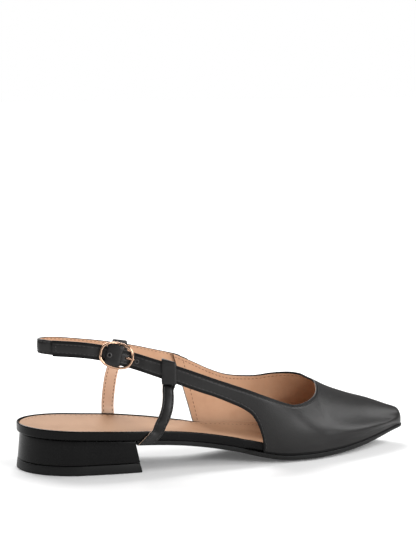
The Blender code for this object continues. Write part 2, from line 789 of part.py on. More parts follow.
def makeStay(name, side, rows, along, lean, broad):
    """Stay that rises from the footbed's side, passes inside the strap and folds over it."""
    if side == LATERAL:
        centre, run, up, out = strapFrame(along, 0.5 * UPPER_WALL)
        strapHalf = 0.5 * UPPER_WALL
        width = STRAP_WIDTH * tableRow([(line[0], line[3]) for line in WING[:-1]], along)[1]
    else:
        path, outward = slingPath()
        spot = min(range(3, len(path) // 2), key=lambda k: abs(path[k].x - along * SOLE_LENGTH))
        centre, out = path[spot], outward[spot].normalized()
        run = (path[spot - 1] - path[spot + 1]).normalized()
        up = run.cross(out)
        if up.z < 0:
            up = -up
        strapHalf = 0.5 * STRAP_THICKNESS
        width = STRAP_WIDTH
    clear = strapHalf + GAP + 0.5 * STAY_THICKNESS
    upright = (up * up.z + run * run.z).normalized()
    high = 0.5 * width / upright.dot(up) + LOOP_ROOM * GAP + 0.5 * STAY_THICKNESS
    level = (run * up.z - up * run.z).normalized()
    up = upright
    points = []
    seat = -1.5 * GAP - 0.5 * STAY_THICKNESS
    for back, drop in STAY_FOOT:
        foot = edgePoint(rows[0][0] - back * lean, side, seat)
        points.append(Vector((foot.x, foot.y, rimTop(foot.x, foot.y) - drop * FOOTBED_THICKNESS)))
    wall = edgePoint(rows[0][0], side, seat) - edgePoint(rows[0][0], side)
    footFace = Vector((wall.x, wall.y, 0.0)).normalized()
    for share, aside, height in rows:
        points.append(Vector((share * SOLE_LENGTH, aside * BALL_WIDTH, height * STRAP_HEIGHT)))
    points.append(centre - out * clear - up * (high + 0.5 * LOOP_TAIL))
    rise = len(points)
    points.append(centre - out * clear)
    points.append(centre - out * clear + up * (high - clear * FOLD_ROUND))
    points.append(centre + up * high)
    points.append(centre + out * clear + up * (high - clear * FOLD_ROUND))
    points.append(centre + out * clear)
    points.append(centre + out * clear - up * (high + LOOP_TAIL))
    steps = 3
    smooth = [Vector(point) for point in throughPoints(points[:rise + 1], steps)]
    smooth += [Vector(point) for point in throughPoints(points[rise:], steps)[1:]]
    faces = []
    for index in range(len(smooth)):
        run2 = smooth[min(index + 1, len(smooth) - 1)] - smooth[max(index - 1, 0)]
        faces.append(run.cross(run2) * (1.0 if side == LATERAL else -1.0))
    footEnd = len(STAY_FOOT) * steps
    for index in range(footEnd):
        faces[index] = footFace.lerp(faces[index].normalized(), ease(footEnd - 2 * steps, footEnd, index))
    spread = LOOP_WIDTH / broad - 1.0
    turn = (rise - 1) * steps
    widths = [1.0 + spread * ease(turn - 3, turn + 1, index) for index in range(len(smooth))]
    levelled = [LOOP_LEVEL * ease(turn + 2 * steps, turn + 6 * steps, index) for index in range(len(smooth))]
    slants = [run.lerp(level, share).normalized() if index > turn + 1 else None
              for index, share in enumerate(levelled)]
    wallRun = Vector((-footFace.y, footFace.x, 0.0))
    for index in range(footEnd):
        way = (smooth[index + 1] - smooth[max(index - 1, 0)]).normalized()
        square = way.cross(faces[index]).normalized()
        flat = wallRun if wallRun.dot(square) > 0 else -wallRun
        slants[index] = flat.lerp(square, ease(0, footEnd, index)).normalized()
        widths[index] = 1.0 / way.cross(slants[index]).length
    return ribbon(name, "leather", smooth, faces, broad, STAY_THICKNESS, widths, slants)


# The buckle

def makeBuckle():
    centre, run, up, out = strapFrame(BUCKLE_ALONG, 0.0)
    centre = centre + up * BUCKLE_LIFT
    barDepth = UPPER_WALL + GAP + 0.5 * BAR_DIAMETER
    lift = GAP * 3 + 0.5 * BUCKLE_DEPTH - STRAP_TROUGH - STRAP_HUMP
    halfLong = 0.5 * (BUCKLE_LENGTH - BUCKLE_WIRE)
    halfHigh = 0.5 * (BUCKLE_HEIGHT - BUCKLE_WIRE)
    path, axes = [], []
    count = 32
    for step in range(count):
        turn = 2 * math.pi * step / count
        bow = lift - (lift + barDepth) * math.sin(turn) ** RING_BOW
        path.append(centre + run * halfLong * math.cos(turn) + up * halfHigh * math.sin(turn) + out * bow)
        radial = (run * math.cos(turn) / halfLong + up * math.sin(turn) / halfHigh).normalized()
        axes.append((radial * 0.5 * BUCKLE_WIRE, out * 0.5 * BUCKLE_DEPTH))
    frame = wire("buckle_frame", "metal", path, axes, True)
    ends = [centre - out * barDepth + up * halfHigh * share for share in (-1.0, 0.0, 1.0)]
    radius = 0.5 * BAR_DIAMETER
    bar = wire("bar", "metal", ends, [(run * radius, out * radius)] * 3, False)
    join = frame.modifiers.new("bar", "BOOLEAN")
    join.operation = "UNION"
    join.object = bar
    asCutter(bar)
    half = 0.5 * PRONG_DIAMETER
    hole = PRONG_RUN * halfLong
    under = UPPER_WALL + GAP + half
    dip = strapDip(PRONG_RUN)
    resting = lift + 0.5 * BUCKLE_DEPTH + GAP + half
    prongPoints = [
        centre + run * (radius + GAP + half) - out * barDepth,
        centre + run * PRONG_LOW * hole - out * (strapDip(PRONG_LOW * PRONG_RUN) + under),
        centre + run * (hole - 0.7 * half) - out * (dip + under),
        centre + run * hole - out * (dip + 0.5 * UPPER_WALL),
        centre + run * (hole + half) - out * (dip - 2.2 * half),
        centre + run * halfLong + out * resting,
        centre + run * (halfLong + PRONG_REACH * BUCKLE_WIRE) + out * (resting - 0.5 * half),
    ]
    prongPath = [Vector(point) for point in throughPoints(prongPoints, 3)]
    prongAxes = []
    for index in range(len(prongPath)):
        line = prongPath[min(index + 1, len(prongPath) - 1)] - prongPath[max(index - 1, 0)]
        prongAxes.append((up * half, line.cross(up).normalized() * half))
    wire("buckle_prong", "metal", prongPath, prongAxes, False)


def asCutter(piece):
    collection.objects.unlink(piece)
    cutters.objects.link(piece)
    piece.hide_render = True
    piece.display_type = "WIRE"


def cutProngHole(upper):
    centre, run, up, out = strapFrame(BUCKLE_ALONG, 0.5 * UPPER_WALL)
    centre = centre + up * BUCKLE_LIFT + run * PRONG_RUN * 0.5 * (BUCKLE_LENGTH - BUCKLE_WIRE)
    bpy.ops.mesh.primitive_cylinder_add(vertices=12, radius=0.5 * PRONG_HOLE, depth=4 * UPPER_WALL)
    punch = bpy.context.active_object
    punch.name = "prong_punch"
    for owner in list(punch.users_collection):
        owner.objects.unlink(punch)
    collection.objects.link(punch)
    asCutter(punch)
    turned = Matrix((run, up, out)).transposed().to_4x4()
    punch.matrix_world = Matrix.Translation(centre) @ turned
    cut = upper.modifiers.new("prong_hole", "BOOLEAN")
    cut.operation = "DIFFERENCE"
    cut.object = punch


# The bottom of the shoe

def makeOutsole():
    slope = BREAST_SLANT / (HEEL_RISE - TOP_PIECE_HEIGHT)
    back = HEEL_LENGTH + GAP + BREAST_ROOM * slope * OUTSOLE_THICKNESS
    stations = soleStations(back / SOLE_LENGTH, 1.0)

    def level(extra, height):
        return plateGrid(stations, lambda a, s: outsoleInset(a, s) + extra, height, backX=back)

    return plateSolid("outsole", "sole", [
        level(EDGE_ROUND, soleTop),
        level(0.0, lambda x, y: soleTop(x, y) - EDGE_ROUND),
        level(0.0, lambda x, y: soleBottom(x, y) + EDGE_ROUND),
        level(2 * EDGE_ROUND, soleBottom),
    ])


def makeFootbed():
    stations = soleStations(0.0, FOOTBED_END)

    def level(extra, height):
        return plateGrid(stations, lambda a, s: footbedInset(a, s) + extra, height,
                         frontX=FOOTBED_END * SOLE_LENGTH - extra)

    return plateSolid("footbed", "leather", [
        level(RIM_WIDTH + EDGE_ROUND, sockFloor),
        level(RIM_WIDTH, lambda x, y: rimTop(x, y) - EDGE_ROUND),
        level(EDGE_ROUND, rimTop),
        level(0.0, lambda x, y: rimTop(x, y) - 2 * EDGE_ROUND),
        level(EDGE_ROUND, lambda x, y: footbedBottom(x, y) + 2 * EDGE_ROUND),
        level(3 * EDGE_ROUND, footbedBottom),
    ])


def makeSock():
    stations = soleStations(0.0, FOOTBED_END)
    seat = RIM_WIDTH + EDGE_ROUND + GAP

    def level(extra, lift):
        return plateGrid(stations, lambda a, s: footbedInset(a, s) + seat + extra,
                         lambda x, y: sockFloor(x, y) + lift,
                         frontX=FOOTBED_END * SOLE_LENGTH - seat - extra)

    return plateSolid("sock", "lining", [
        level(EDGE_ROUND, GAP + SOCK_THICKNESS),
        level(0.0, GAP + SOCK_THICKNESS - EDGE_ROUND),
        level(0.0, GAP),
    ])


def heelLevel(extra, height, drop):
    """One level of the heel. drop: share of the way from the heel's top to the floor."""
    front = HEEL_LENGTH + BREAST_SLANT * drop
    inset = HEEL_SET_IN - HEEL_FLARE * drop + extra
    stations = soleStations(0.0, HEEL_LENGTH / SOLE_LENGTH)
    return plateGrid(stations, lambda a, s: inset, height, frontX=front)


def makeHeel():
    seam = TOP_PIECE_HEIGHT / HEEL_RISE
    heelBottom = TOP_PIECE_HEIGHT + GAP
    plateSolid("heel_block", "heel", [
        heelLevel(EDGE_ROUND, soleTop, 0.0),
        heelLevel(0.0, lambda x, y: soleTop(x, y) - EDGE_ROUND, 0.0),
        heelLevel(0.0, lambda x, y: heelBottom, 1.0 - seam),
    ])
    plateSolid("top_piece", "sole", [
        heelLevel(-EDGE_ROUND * 0.5, lambda x, y: TOP_PIECE_HEIGHT, 1.0 - seam),
        heelLevel(-EDGE_ROUND * 0.5, lambda x, y: EDGE_ROUND, 1.0),
        heelLevel(EDGE_ROUND * 0.5, lambda x, y: 0.0, 1.0),
    ])


def centreOnOrigin():
    """One empty carries the pieces, with the middle of their box over the origin."""
    bpy.context.view_layer.update()
    graph = bpy.context.evaluated_depsgraph_get()
    corners = []
    for piece in collection.objects:
        shown = piece.evaluated_get(graph)
        corners += [piece.matrix_world @ vertex.co for vertex in shown.data.vertices]
    low = Vector([min(corner[k] for corner in corners) for k in range(3)])
    high = Vector([max(corner[k] for corner in corners) for k in range(3)])
    carrier = bpy.data.objects.new("shoe_origin", None)
    pieces = list(collection.objects) + list(cutters.objects)
    bpy.context.scene.collection.objects.link(carrier)
    for piece in pieces:
        piece.parent = carrier
    carrier.location = (-(low.x + high.x) / 2, -(low.y + high.y) / 2, -low.z)
    print("box", [round(v * 1000, 2) for v in high - low], "moved",
          [round(v * 1000, 2) for v in carrier.location])


for leftover in list(bpy.data.objects):
    bpy.data.objects.remove(leftover, do_unlink=True)
collection = bpy.data.collections.new("sling_back_flat")
cutters = bpy.data.collections.new("cutters")
bpy.context.scene.collection.children.link(collection)
bpy.context.scene.collection.children.link(cutters)

makeOutsole()
makeFootbed()
makeSock()
makeHeel()
cutProngHole(makeUpper())
makeSling()
makeStay("stay_lateral", LATERAL, STAY_LATERAL, STAY_LATERAL_ALONG, LATERAL_LEAN,
         STAY_LATERAL_WIDTH)
makeStay("stay_medial", MEDIAL, STAY_MEDIAL, STAY_MEDIAL_ALONG, MEDIAL_LEAN, STAY_MEDIAL_WIDTH)
makeBuckle()
centreOnOrigin()
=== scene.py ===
# Sling back flat, right shoe: the looks.
# Lengths in metres. x runs from the back of the heel to the toe, y from the heel's middle line
# (outer side of the foot is -y), z from the floor. shoeOrigin then moves it all over the origin.
import math

import bpy
import numpy as np
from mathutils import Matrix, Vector


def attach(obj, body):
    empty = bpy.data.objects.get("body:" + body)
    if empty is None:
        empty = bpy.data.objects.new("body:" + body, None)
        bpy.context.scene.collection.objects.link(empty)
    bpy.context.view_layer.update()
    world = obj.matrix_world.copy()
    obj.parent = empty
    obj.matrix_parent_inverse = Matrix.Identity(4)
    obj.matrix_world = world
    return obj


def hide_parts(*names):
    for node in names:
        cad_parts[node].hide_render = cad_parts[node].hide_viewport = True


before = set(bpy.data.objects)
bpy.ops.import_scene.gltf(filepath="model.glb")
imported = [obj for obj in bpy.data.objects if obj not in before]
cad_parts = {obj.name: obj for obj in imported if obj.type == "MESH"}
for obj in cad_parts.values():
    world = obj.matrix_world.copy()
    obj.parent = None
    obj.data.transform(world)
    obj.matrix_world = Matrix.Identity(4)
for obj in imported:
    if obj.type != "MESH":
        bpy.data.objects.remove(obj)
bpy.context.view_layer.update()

shoeOrigin = Vector((-0.12982, -0.00316, 0.0))
gap = 0.0003
outerSide, innerSide = -1, 1

sole = {
    "length": 0.261, "ballWidth": 0.07, "heelRise": 0.0203, "toeSpring": 0.0082, "edgeLift": 0.0012,
    "crown": 0.0022, "thickness": 0.003, "tipThickness": 0.0018, "ledge": 0.0003, "setIn": 0.001,
    "heelRound": 0.134, "toeRound": 0.02, "thinFrom": 0.86, "topRound": 0.0004, "lowRound": 0.0009,
    "breast": 1.6, "breastRound": 0.2, "shareEnds": (0.004, 0.996), "narrowest": 0.001,
}

footbed = {
    "thickness": 0.006, "insole": 0.0034, "rim": 0.0012, "sock": 0.0012, "sink": 0.0004,
    "dish": 0.0014, "dishLoss": 0.45, "dishFrom": 0.25, "dishTo": 0.5, "toeLean": 0.0012,
    "leanFrom": 0.72, "leanTo": 0.95, "overhang": 0.0011, "backFade": 0.12, "end": 0.972,
    "wrapFrom": 0.052, "wrapTo": 0.022, "thinRun": 0.12,
    "lipIn": 0.0006, "lipLow": 0.0002, "lipDrop": 0.0008, "topRound": 0.0009, "lowRound": 0.0010,
}

heel = {
    "length": 0.068, "slant": 0.0036, "setIn": 0.0008, "flare": 0.0022, "topPiece": 0.0062,
    "lip": 0.0008, "lipRows": 5, "sideRows": 8, "seamIn": 0.0004, "seamGap": 0.0001,
    "seamRim": ((0.0004, 0.0001), (-0.0001, 0.0004), (-0.00025, 0.0009)),  # inset, under the seam
    "floorRim": ((-0.00025, 0.0008, 0.97), (-0.0001, 0.0003, 0.99), (0.0003, 0.0, 1.0)),  # inset, high, drop
}

upper = {
    "wall": 0.0016, "throat": 0.0428, "toeWall": 0.006, "ridgeOffset": 0.005, "noseRound": 0.016,
    "noseFull": 2.6, "wallGirth": 0.12, "wavyEnd": 0.3, "creaseHigh": 0.33, "creaseWide": 0.16,
}

strap = {
    "height": 0.0818, "width": 0.0092, "thickness": 0.0016, "root": 0.436, "rootRun": 0.017,
    "rootEnd": 0.002, "lap": 0.62, "tipIn": 0.004, "smooth": 3, "threadSize": 0.85,
    "stations": (0.0, 0.2, 0.4, 0.55, 0.68, 0.78, 0.86, 0.93, 1.0),  # from the tip to the buckle
}

stay = {
    "thickness": 0.0013, "tail": 0.0008, "loopWidth": 0.0092, "loopLevel": 0.8, "loopRoom": 2.4,
    "loopCorner": 0.6, "seat": 1.5, "steps": 9, "widen": (-9, 3), "levelFrom": 2, "levelTo": 6,
    "liningStop": 4, "stitchStop": 6, "stitchAgain": 3,
    "foot": ((0.0334, 1.30), (0.0254, 0.95), (0.0150, 0.50), (0.0049, 0.00)),  # back, drop
}

buckle = {
    "length": 0.0216, "height": 0.0165, "wire": 0.0014, "depth": 0.0016, "lift": 0.0006,
    "bar": 0.0012, "hump": 0.0012, "trough": 0.0009, "prong": 0.0012,
    "along": 0.2275, "high": 0.882, "fall": 0.24, "square": 0.82, "bend": 12, "wireSide": 0.6,
    "prongRun": 0.60, "prongMid": 0.6, "prongLead": 0.7, "prongLift": 2.2, "prongReach": 0.8,
    "prongTaper": 0.45, "prongSteps": 8,
}

outlineRows = (
    # along, middle, half
    (0.000, 0.043, 0.421),
    (0.076, 0.021, 0.421),
    (0.153, 0.000, 0.421),
    (0.248, -0.021, 0.414),
    (0.324, -0.040, 0.364),
    (0.420, -0.050, 0.302),
    (0.515, -0.036, 0.337),
    (0.630, 0.000, 0.455),
    (0.706, 0.054, 0.498),
    (0.782, 0.100, 0.457),
    (0.859, 0.121, 0.347),
    (0.935, 0.123, 0.182),
    (0.980, 0.117, 0.084),
    (1.000, 0.114, 0.068),
)

soleRows = (
    # along, heel, spring, crown
    (0.000, 1.00, 0.00, 0.10),
    (0.153, 0.90, 0.00, 0.15),
    (0.324, 0.76, 0.00, 0.25),
    (0.420, 0.59, 0.00, 0.40),
    (0.515, 0.36, 0.00, 0.65),
    (0.573, 0.17, 0.00, 0.85),
    (0.630, 0.035, 0.00, 1.00),
    (0.706, 0.000, 0.00, 1.00),
    (0.760, 0.000, 0.03, 1.00),
    (0.820, 0.000, 0.15, 0.95),
    (0.916, 0.000, 0.53, 0.60),
    (1.000, 0.000, 1.00, 0.30),
)

lastRows = (
    # along, ridge, square, lateral, medial, shoulder, aside
    (0.080, 2.22, 2.2, -0.260, -0.260, 0.00, 0.40),
    (0.200, 2.18, 2.2, -0.180, -0.150, 0.00, 0.40),
    (0.307, 2.16, 2.2, -0.100, -0.050, 0.00, 0.40),
    (0.420, 2.12, 2.2, 0.031, 0.070, 0.00, 0.40),
    (0.520, 1.96, 2.2, 0.052, 0.075, 0.00, 0.40),
    (0.580, 1.76, 2.1, 0.040, 0.050, 0.00, 0.45),
    (0.650, 1.46, 1.8, 0.010, 0.020, 0.00, 0.70),
    (0.700, 1.20, 1.6, 0.000, 0.000, 0.02, 0.90),
    (0.747, 1.000, 1.5, -0.010, 0.000, 0.03, 1.00),
    (0.772, 0.904, 1.5, -0.010, 0.000, 0.04, 1.00),
    (0.799, 0.810, 1.5, -0.010, 0.000, 0.05, 0.95),
    (0.854, 0.652, 1.5, -0.005, 0.000, 0.06, 0.75),
    (0.910, 0.507, 1.6, 0.000, 0.000, 0.06, 0.55),
    (0.966, 0.324, 1.8, 0.000, 0.000, 0.04, 0.40),
    (1.000, 0.215, 2.0, 0.000, 0.000, 0.00, 0.40),
)

wingRows = (
    # topAlong, high, lowAlong, drop
    (0.080, 0.998, 0.080, 1.00),
    (0.145, 0.985, 0.145, 1.00),
    (0.192, 0.962, 0.191, 1.00),
    (0.240, 0.926, 0.238, 1.02),
    (0.285, 0.884, 0.283, 1.05),
    (0.330, 0.836, 0.328, 1.10),
    (0.377, 0.785, 0.374, 1.15),
    (0.425, 0.728, 0.420, 1.15),
    (0.472, 0.671, 0.464, 1.10),
    (0.520, 0.615, 0.504, 1.10),
    (0.558, 0.570, 0.531, 1.08),
    (0.588, 0.532, 0.552, 1.18),
    (0.610, 0.504, 0.566, 1.54),
    (0.630, 0.479, 0.576, 2.06),
    (0.648, 0.458, 0.582, 2.64),
    (0.662, 0.444, 0.583, None),
)

outerVampRows = (
    (0.662, 0.444, 0.583),
    (0.680, 0.440, 0.630),
    (0.700, 0.442, 0.700),
    (0.718, 0.448, 0.770),
    (0.734, 0.460, 0.840),
    (0.745, 0.475, 0.905),
    (0.7525, 0.491, 0.955),
)

noseRows = (
    # topAlong, topGirth, lowAlong, lowGirth
    (0.7575, -0.242, 0.9820, -1.00),
    (0.7605, -0.190, 0.9960, -1.00),
    (0.7625, -0.135, 1.0000, -1.00),
    (0.7637, -0.075, 1.0000, -0.60),
    (0.7637, -0.015, 1.0000, 0.00),
    (0.7622, 0.026, 1.0000, 0.60),
    (0.7580, 0.052, 1.0000, 1.00),
    (0.7510, 0.072, 0.9960, 1.00),
    (0.7430, 0.090, 0.9820, 1.00),
)

innerVampRows = (
    (0.7345, 0.5940, 0.955),
    (0.7235, 0.6025, 0.905),
    (0.709, 0.6055, 0.840),
    (0.691, 0.6000, 0.770),
    (0.668, 0.5895, 0.700),
    (0.638, 0.5735, 0.640),
    (0.605, 0.5705, 0.590),
    (0.570, 0.580, 0.555),
    (0.535, 0.604, 0.525),
    (0.500, 0.649, 0.508),
    (0.465, 0.705, 0.492),
    (0.432, 0.758, 0.481),
    (0.402, 0.803, 0.472),
)

slingRows = (
    # along, aside, high
    (0.343, 0.277, 0.852),
    (0.289, 0.237, 0.898),
    (0.212, 0.193, 0.949),
    (0.155, 0.170, 0.977),
    (0.110, 0.142, 0.998),
    (0.078, 0.112, 1.008),
    (0.058, 0.066, 1.012),
    (0.052, 0.024, 1.012),
    (0.056, -0.014, 1.010),
    (0.067, -0.032, 1.005),
)

outerStayRows = (
    # along, aside, high
    (0.3204, -0.464, 0.367),
    (0.330, -0.464, 0.426),
    (0.338, -0.448, 0.493),
    (0.343, -0.412, 0.563),
    (0.346, -0.360, 0.620),
)

innerStayRows = (
    (0.243, 0.422, 0.390),
    (0.244, 0.405, 0.471),
    (0.245, 0.362, 0.563),
    (0.247, 0.308, 0.659),
    (0.254, 0.262, 0.751),
)


def clamp(value, low, high):
    return max(low, min(high, value))


def ease(start, end, value):
    share = clamp((value - start) / (end - start), 0.0, 1.0)
    return share * share * (3.0 - 2.0 * share)


def tableRow(rows, at):
    at = clamp(at, rows[0][0], rows[-1][0])
    index = 0
    while index < len(rows) - 2 and rows[index + 1][0] < at:
        index += 1
    low, high = rows[index], rows[index + 1]
    span = high[0] - low[0]
    before = rows[index - 1] if index > 0 else low
    after = rows[index + 2] if index + 2 < len(rows) else high
    share = (at - low[0]) / span
    result = [at]
    for column in range(1, len(low)):
        slopeLow = (high[column] - before[column]) / (high[0] - before[0])
        slopeHigh = (after[column] - low[column]) / (after[0] - low[0])
        result.append(hermite(low[column], high[column], slopeLow * span, slopeHigh * span, share))
    return result


def hermite(start, end, slopeStart, slopeEnd, share):
    square, cube = share * share, share ** 3
    return (start * (2 * cube - 3 * square + 1) + slopeStart * (cube - 2 * square + share)
            + end * (3 * square - 2 * cube) + slopeEnd * (cube - square))


def throughPoints(points, steps):
    result = []
    last = len(points) - 1
    for index in range(last):
        before = points[max(index - 1, 0)]
        low, high = points[index], points[index + 1]
        after = points[min(index + 2, last)]
        for step in range(steps):
            share = step / steps
            result.append([hermite(low[k], high[k], (high[k] - before[k]) / 2.0,
                                   (after[k] - low[k]) / 2.0, share) for k in range(len(low))])
    result.append(list(points[last]))
    return result


def endRound(along):
    if along < sole["heelRound"]:
        return math.sqrt(max(0.0, 1.0 - (1.0 - along / sole["heelRound"]) ** 2))
    start = 1.0 - sole["toeRound"]
    if along > start:
        return math.sqrt(max(0.0, 1.0 - ((along - start) / sole["toeRound"]) ** 2))
    return 1.0


def middle(along):
    return tableRow(outlineRows, along)[1] * sole["ballWidth"]


def halfWidth(along):
    return tableRow(outlineRows, along)[2] * sole["ballWidth"] * endRound(clamp(along, 0.0, 1.0))


def edgePoint(along, side, inset=0.0):
    step = 1e-6
    low, high = clamp(along - step, 0.0, 1.0), clamp(along + step, 0.0, 1.0)
    here = Vector((along * sole["length"], middle(along) + side * halfWidth(along)))
    run = Vector(((high - low) * sole["length"], middle(high) - middle(low)
                  + side * (halfWidth(high) - halfWidth(low)))).normalized()
    return here - Vector((-run.y, run.x)) * side * inset


def soleEdge(along):
    row = tableRow(soleRows, along)
    rise = row[1] * (sole["heelRise"] - sole["edgeLift"]) + row[2] * sole["toeSpring"]
    return sole["edgeLift"] + rise


def acrossShare(x, y):
    along = clamp(x / sole["length"], *sole["shareEnds"])
    return clamp((y - middle(along)) / max(halfWidth(along), sole["narrowest"]), -1.0, 1.0)


def soleBottom(x, y):
    along = clamp(x / sole["length"], 0.0, 1.0)
    hang = sole["crown"] * tableRow(soleRows, along)[3] * (1.0 - acrossShare(x, y) ** 2)
    thinned = (sole["thickness"] - sole["tipThickness"]) * ease(sole["thinFrom"], 1.0, along)
    return max(soleEdge(along) + thinned - hang, 0.0)


def soleTop(x, y):
    return soleEdge(clamp(x / sole["length"], 0.0, 1.0)) + sole["thickness"]


def footbedBottom(x, y):
    return soleTop(x, y) + gap


def rimTop(x, y):
    thin = ease(wingRows[-1][2], wingRows[-1][2] + footbed["thinRun"], x / sole["length"])
    return footbedBottom(x, y) + footbed["thickness"] - thin * (footbed["thickness"] - footbed["insole"])


def sockFloor(x, y):
    along = clamp(x / sole["length"], 0.0, 1.0)
    flatter = 1.0 - footbed["dishLoss"] * ease(footbed["dishFrom"], footbed["dishTo"], along)
    dish = footbed["dish"] * flatter * (1.0 - acrossShare(x, y) ** 2)
    return rimTop(x, y) - footbed["sink"] - footbed["sock"] - gap - dish


def wrapped(along, side):
    foot = wingRows[-1][2] if side == outerSide else innerVampRows[-1][2]
    return ease(foot - footbed["wrapFrom"], foot - footbed["wrapTo"], along)


def footbedInset(along, side):
    lean = footbed["toeLean"] * ease(footbed["leanFrom"], footbed["leanTo"], along)
    back = footbed["overhang"] * (1.0 - ease(0.0, footbed["backFade"], along))
    return wrapped(along, side) * (upper["wall"] + 3 * gap) + lean - back


def outsoleInset(along, side):
    share = wrapped(along, side)
    return sole["setIn"] * (1.0 - share) - sole["ledge"] * share


def noseRound(along):
    start = 1.0 - upper["noseRound"]
    if along <= start:
        return 1.0
    past = (along - start) / upper["noseRound"]
    return max(0.0, 1.0 - past ** upper["noseFull"]) ** (1.0 / upper["noseFull"])


def lastSection(along):
    row = tableRow(lastRows, along)
    foot = soleEdge(clamp(along, 0.0, 1.0)) + sole["thickness"] + gap
    ridge = row[1] * upper["throat"] * noseRound(along)
    wall = min(upper["toeWall"], 0.5 * ridge)
    return foot, ridge, wall, row[2], (row[3], row[4]), row[5], row[6] * upper["ridgeOffset"]


def strapWave(along, level):
    half = 0.5 * (buckle["length"] - buckle["wire"])
    skew = (level - buckle["high"] * strap["height"]) * buckle["fall"]
    reach = abs((along - buckle["along"]) * sole["length"] - skew) / half
    if reach < 1.0:
        swing = 0.5 * (buckle["hump"] + buckle["trough"])
        return buckle["hump"] - swing + swing * math.cos(math.pi * reach)
    if reach < 2.0:
        return -0.5 * buckle["trough"] * (1.0 + math.cos(math.pi * (reach - 1.0)))
    return 0.0


def strapDip(reach):
    return 0.5 * (buckle["hump"] + buckle["trough"]) * (1.0 - math.cos(math.pi * reach))


def lastPoint(along, girth):
    foot, ridge, wall, square, swell, shoulder, aside = lastSection(along)
    side = outerSide if girth < 0 else innerSide
    turn = clamp((1.0 - abs(girth) - upper["wallGirth"]) / (1.0 - upper["wallGirth"]), 0.0, 1.0) * math.pi / 2
    rise = math.sin(turn) ** (2.0 / square)
    reach = max(math.cos(turn), 0.0) ** (2.0 / square)
    height = wall * clamp((1.0 - abs(girth)) / upper["wallGirth"], 0.0, 1.0) + (ridge - wall) * rise
    share = height / max(ridge, 1e-6)
    edge = edgePoint(clamp(along, 0.0, 1.0), side, gap)
    top = middle(along) + aside * noseRound(along)
    half = side * (edge.y - top)
    bulge = swell[0 if side == outerSide else 1] * math.sin(math.pi * share)
    crease = shoulder * math.exp(-((share - upper["creaseHigh"]) / upper["creaseWide"]) ** 2)
    spread = (bulge + crease) * sole["ballWidth"] * endRound(clamp(along, 0.0, 1.0))
    if side == outerSide:
        spread += strapWave(along, foot + height)
    ridgeX = along * sole["length"] - gap * (1.0 - noseRound(along))
    x = edge.x * reach + ridgeX * (1.0 - reach)
    return Vector((x, top + side * (half * reach + spread), foot + height))


def girthAt(along, height, side):
    foot, ridge, wall, square = lastSection(along)[:4]
    if height < foot + wall:
        return side * (1.0 - upper["wallGirth"] * clamp((height - foot) / wall, 0.0, 1.0))
    rise = clamp((height - foot - wall) / (ridge - wall), 0.0, 1.0)
    turn = math.asin(rise ** (square / 2.0)) / (math.pi / 2)
    return side * (1.0 - upper["wallGirth"] - (1.0 - upper["wallGirth"]) * turn)


def patternLine(topAlong, high, lowAlong, drop, side):
    top = high * strap["height"]
    topGirth = girthAt(topAlong, top, side)
    lowGirth = side if drop is None else girthAt(lowAlong, top - drop * strap["width"], side)
    return (topAlong, topGirth, lowAlong, float(lowGirth))


def strapFrame(along, depth):
    rows = [(line[0], line[1], line[3]) for line in wingRows[:-1]]
    step = 0.008

    def face(share, below):
        top, drop = tableRow(rows, share)[1:]
        height = top * strap["height"] - below * drop * strap["width"]
        return lastPoint(share, girthAt(share, height, outerSide))

    centre = face(along, 0.5)
    run = (face(along + step, 0.5) - face(along - step, 0.5)).normalized()
    rise = (face(along, 0.0) - face(along, 1.0)).normalized()
    out = run.cross(rise).normalized()
    if out.y > 0:
        out = -out
    up = out.cross(run)
    if up.z < 0:
        up = -up
    return centre - out * depth, run, up, out


def slingPath():
    lift = 0.5 * strap["width"]
    depth = upper["wall"] + 2 * gap + 0.5 * strap["thickness"]
    rootRows = [row for row in innerVampRows if row[0] <= strap["root"] + 0.001]
    heights = sorted((row[0], row[1]) for row in innerVampRows)
    points = []
    for along in (strap["root"], strap["root"] - strap["rootRun"], rootRows[-1][0] + strap["rootEnd"]):
        top = tableRow(heights, along)[1] * strap["height"]
        point = lastPoint(along, girthAt(along, top - lift, innerSide))
        point.y += gap + strap["lap"] * strap["thickness"]
        points.append((*point, 0.0))
    for along, aside, high in slingRows:
        points.append((along * sole["length"], aside * sole["ballWidth"], high * strap["height"] - lift, 0.0))
    bar = buckle["along"] - (0.5 * buckle["bar"] + 2 * gap) / sole["length"]
    start = wingRows[0][0] + strap["tipIn"]
    for share in strap["stations"]:
        placed = strapFrame(start + (bar - start) * share, depth)
        centre, out = placed[0], placed[3]
        points.append((*centre, out.z / out.xy.length))
    smooth = throughPoints(points, strap["smooth"])
    path = [Vector(point[:3]) for point in smooth]
    outward = []
    for index, point in enumerate(smooth):
        run = path[min(index + 1, len(path) - 1)] - path[max(index - 1, 0)]
        level = Vector((run.y, -run.x, 0.0)).normalized()
        outward.append(level + Vector((0.0, 0.0, point[3])))
    return path, outward


# Looks

blackLeather = {
    "colour": (0.0074, 0.0068, 0.0067), "roughness": 0.38, "specular": 0.32,
    "grain": 1500, "grainDepth": 0.00004, "swell": 55, "swellDepth": 0.00022, "lightSpots": 1.35,
}
tanLeather = {
    "colour": (0.620, 0.375, 0.235), "shade": (0.480, 0.265, 0.155), "roughness": 0.58, "specular": 0.30,
    "wrinkles": 85, "wrinkleDepth": 0.00035, "pores": 2400, "poreDepth": 0.00004,
}
sockLeather = {
    "colour": (0.425, 0.258, 0.162), "shade": (0.345, 0.198, 0.120), "roughness": 0.56, "specular": 0.06,
    "wrinkles": 60, "wrinkleDepth": 0.00015, "pores": 2600, "poreDepth": 0.00003,
}
heelCover = {
    "colour": (0.0036, 0.0035, 0.0036), "roughness": 0.27, "specular": 0.13,
    "grain": 700, "grainDepth": 0.00002, "swell": 40, "swellDepth": 0.00012, "lightSpots": 1.2,
}
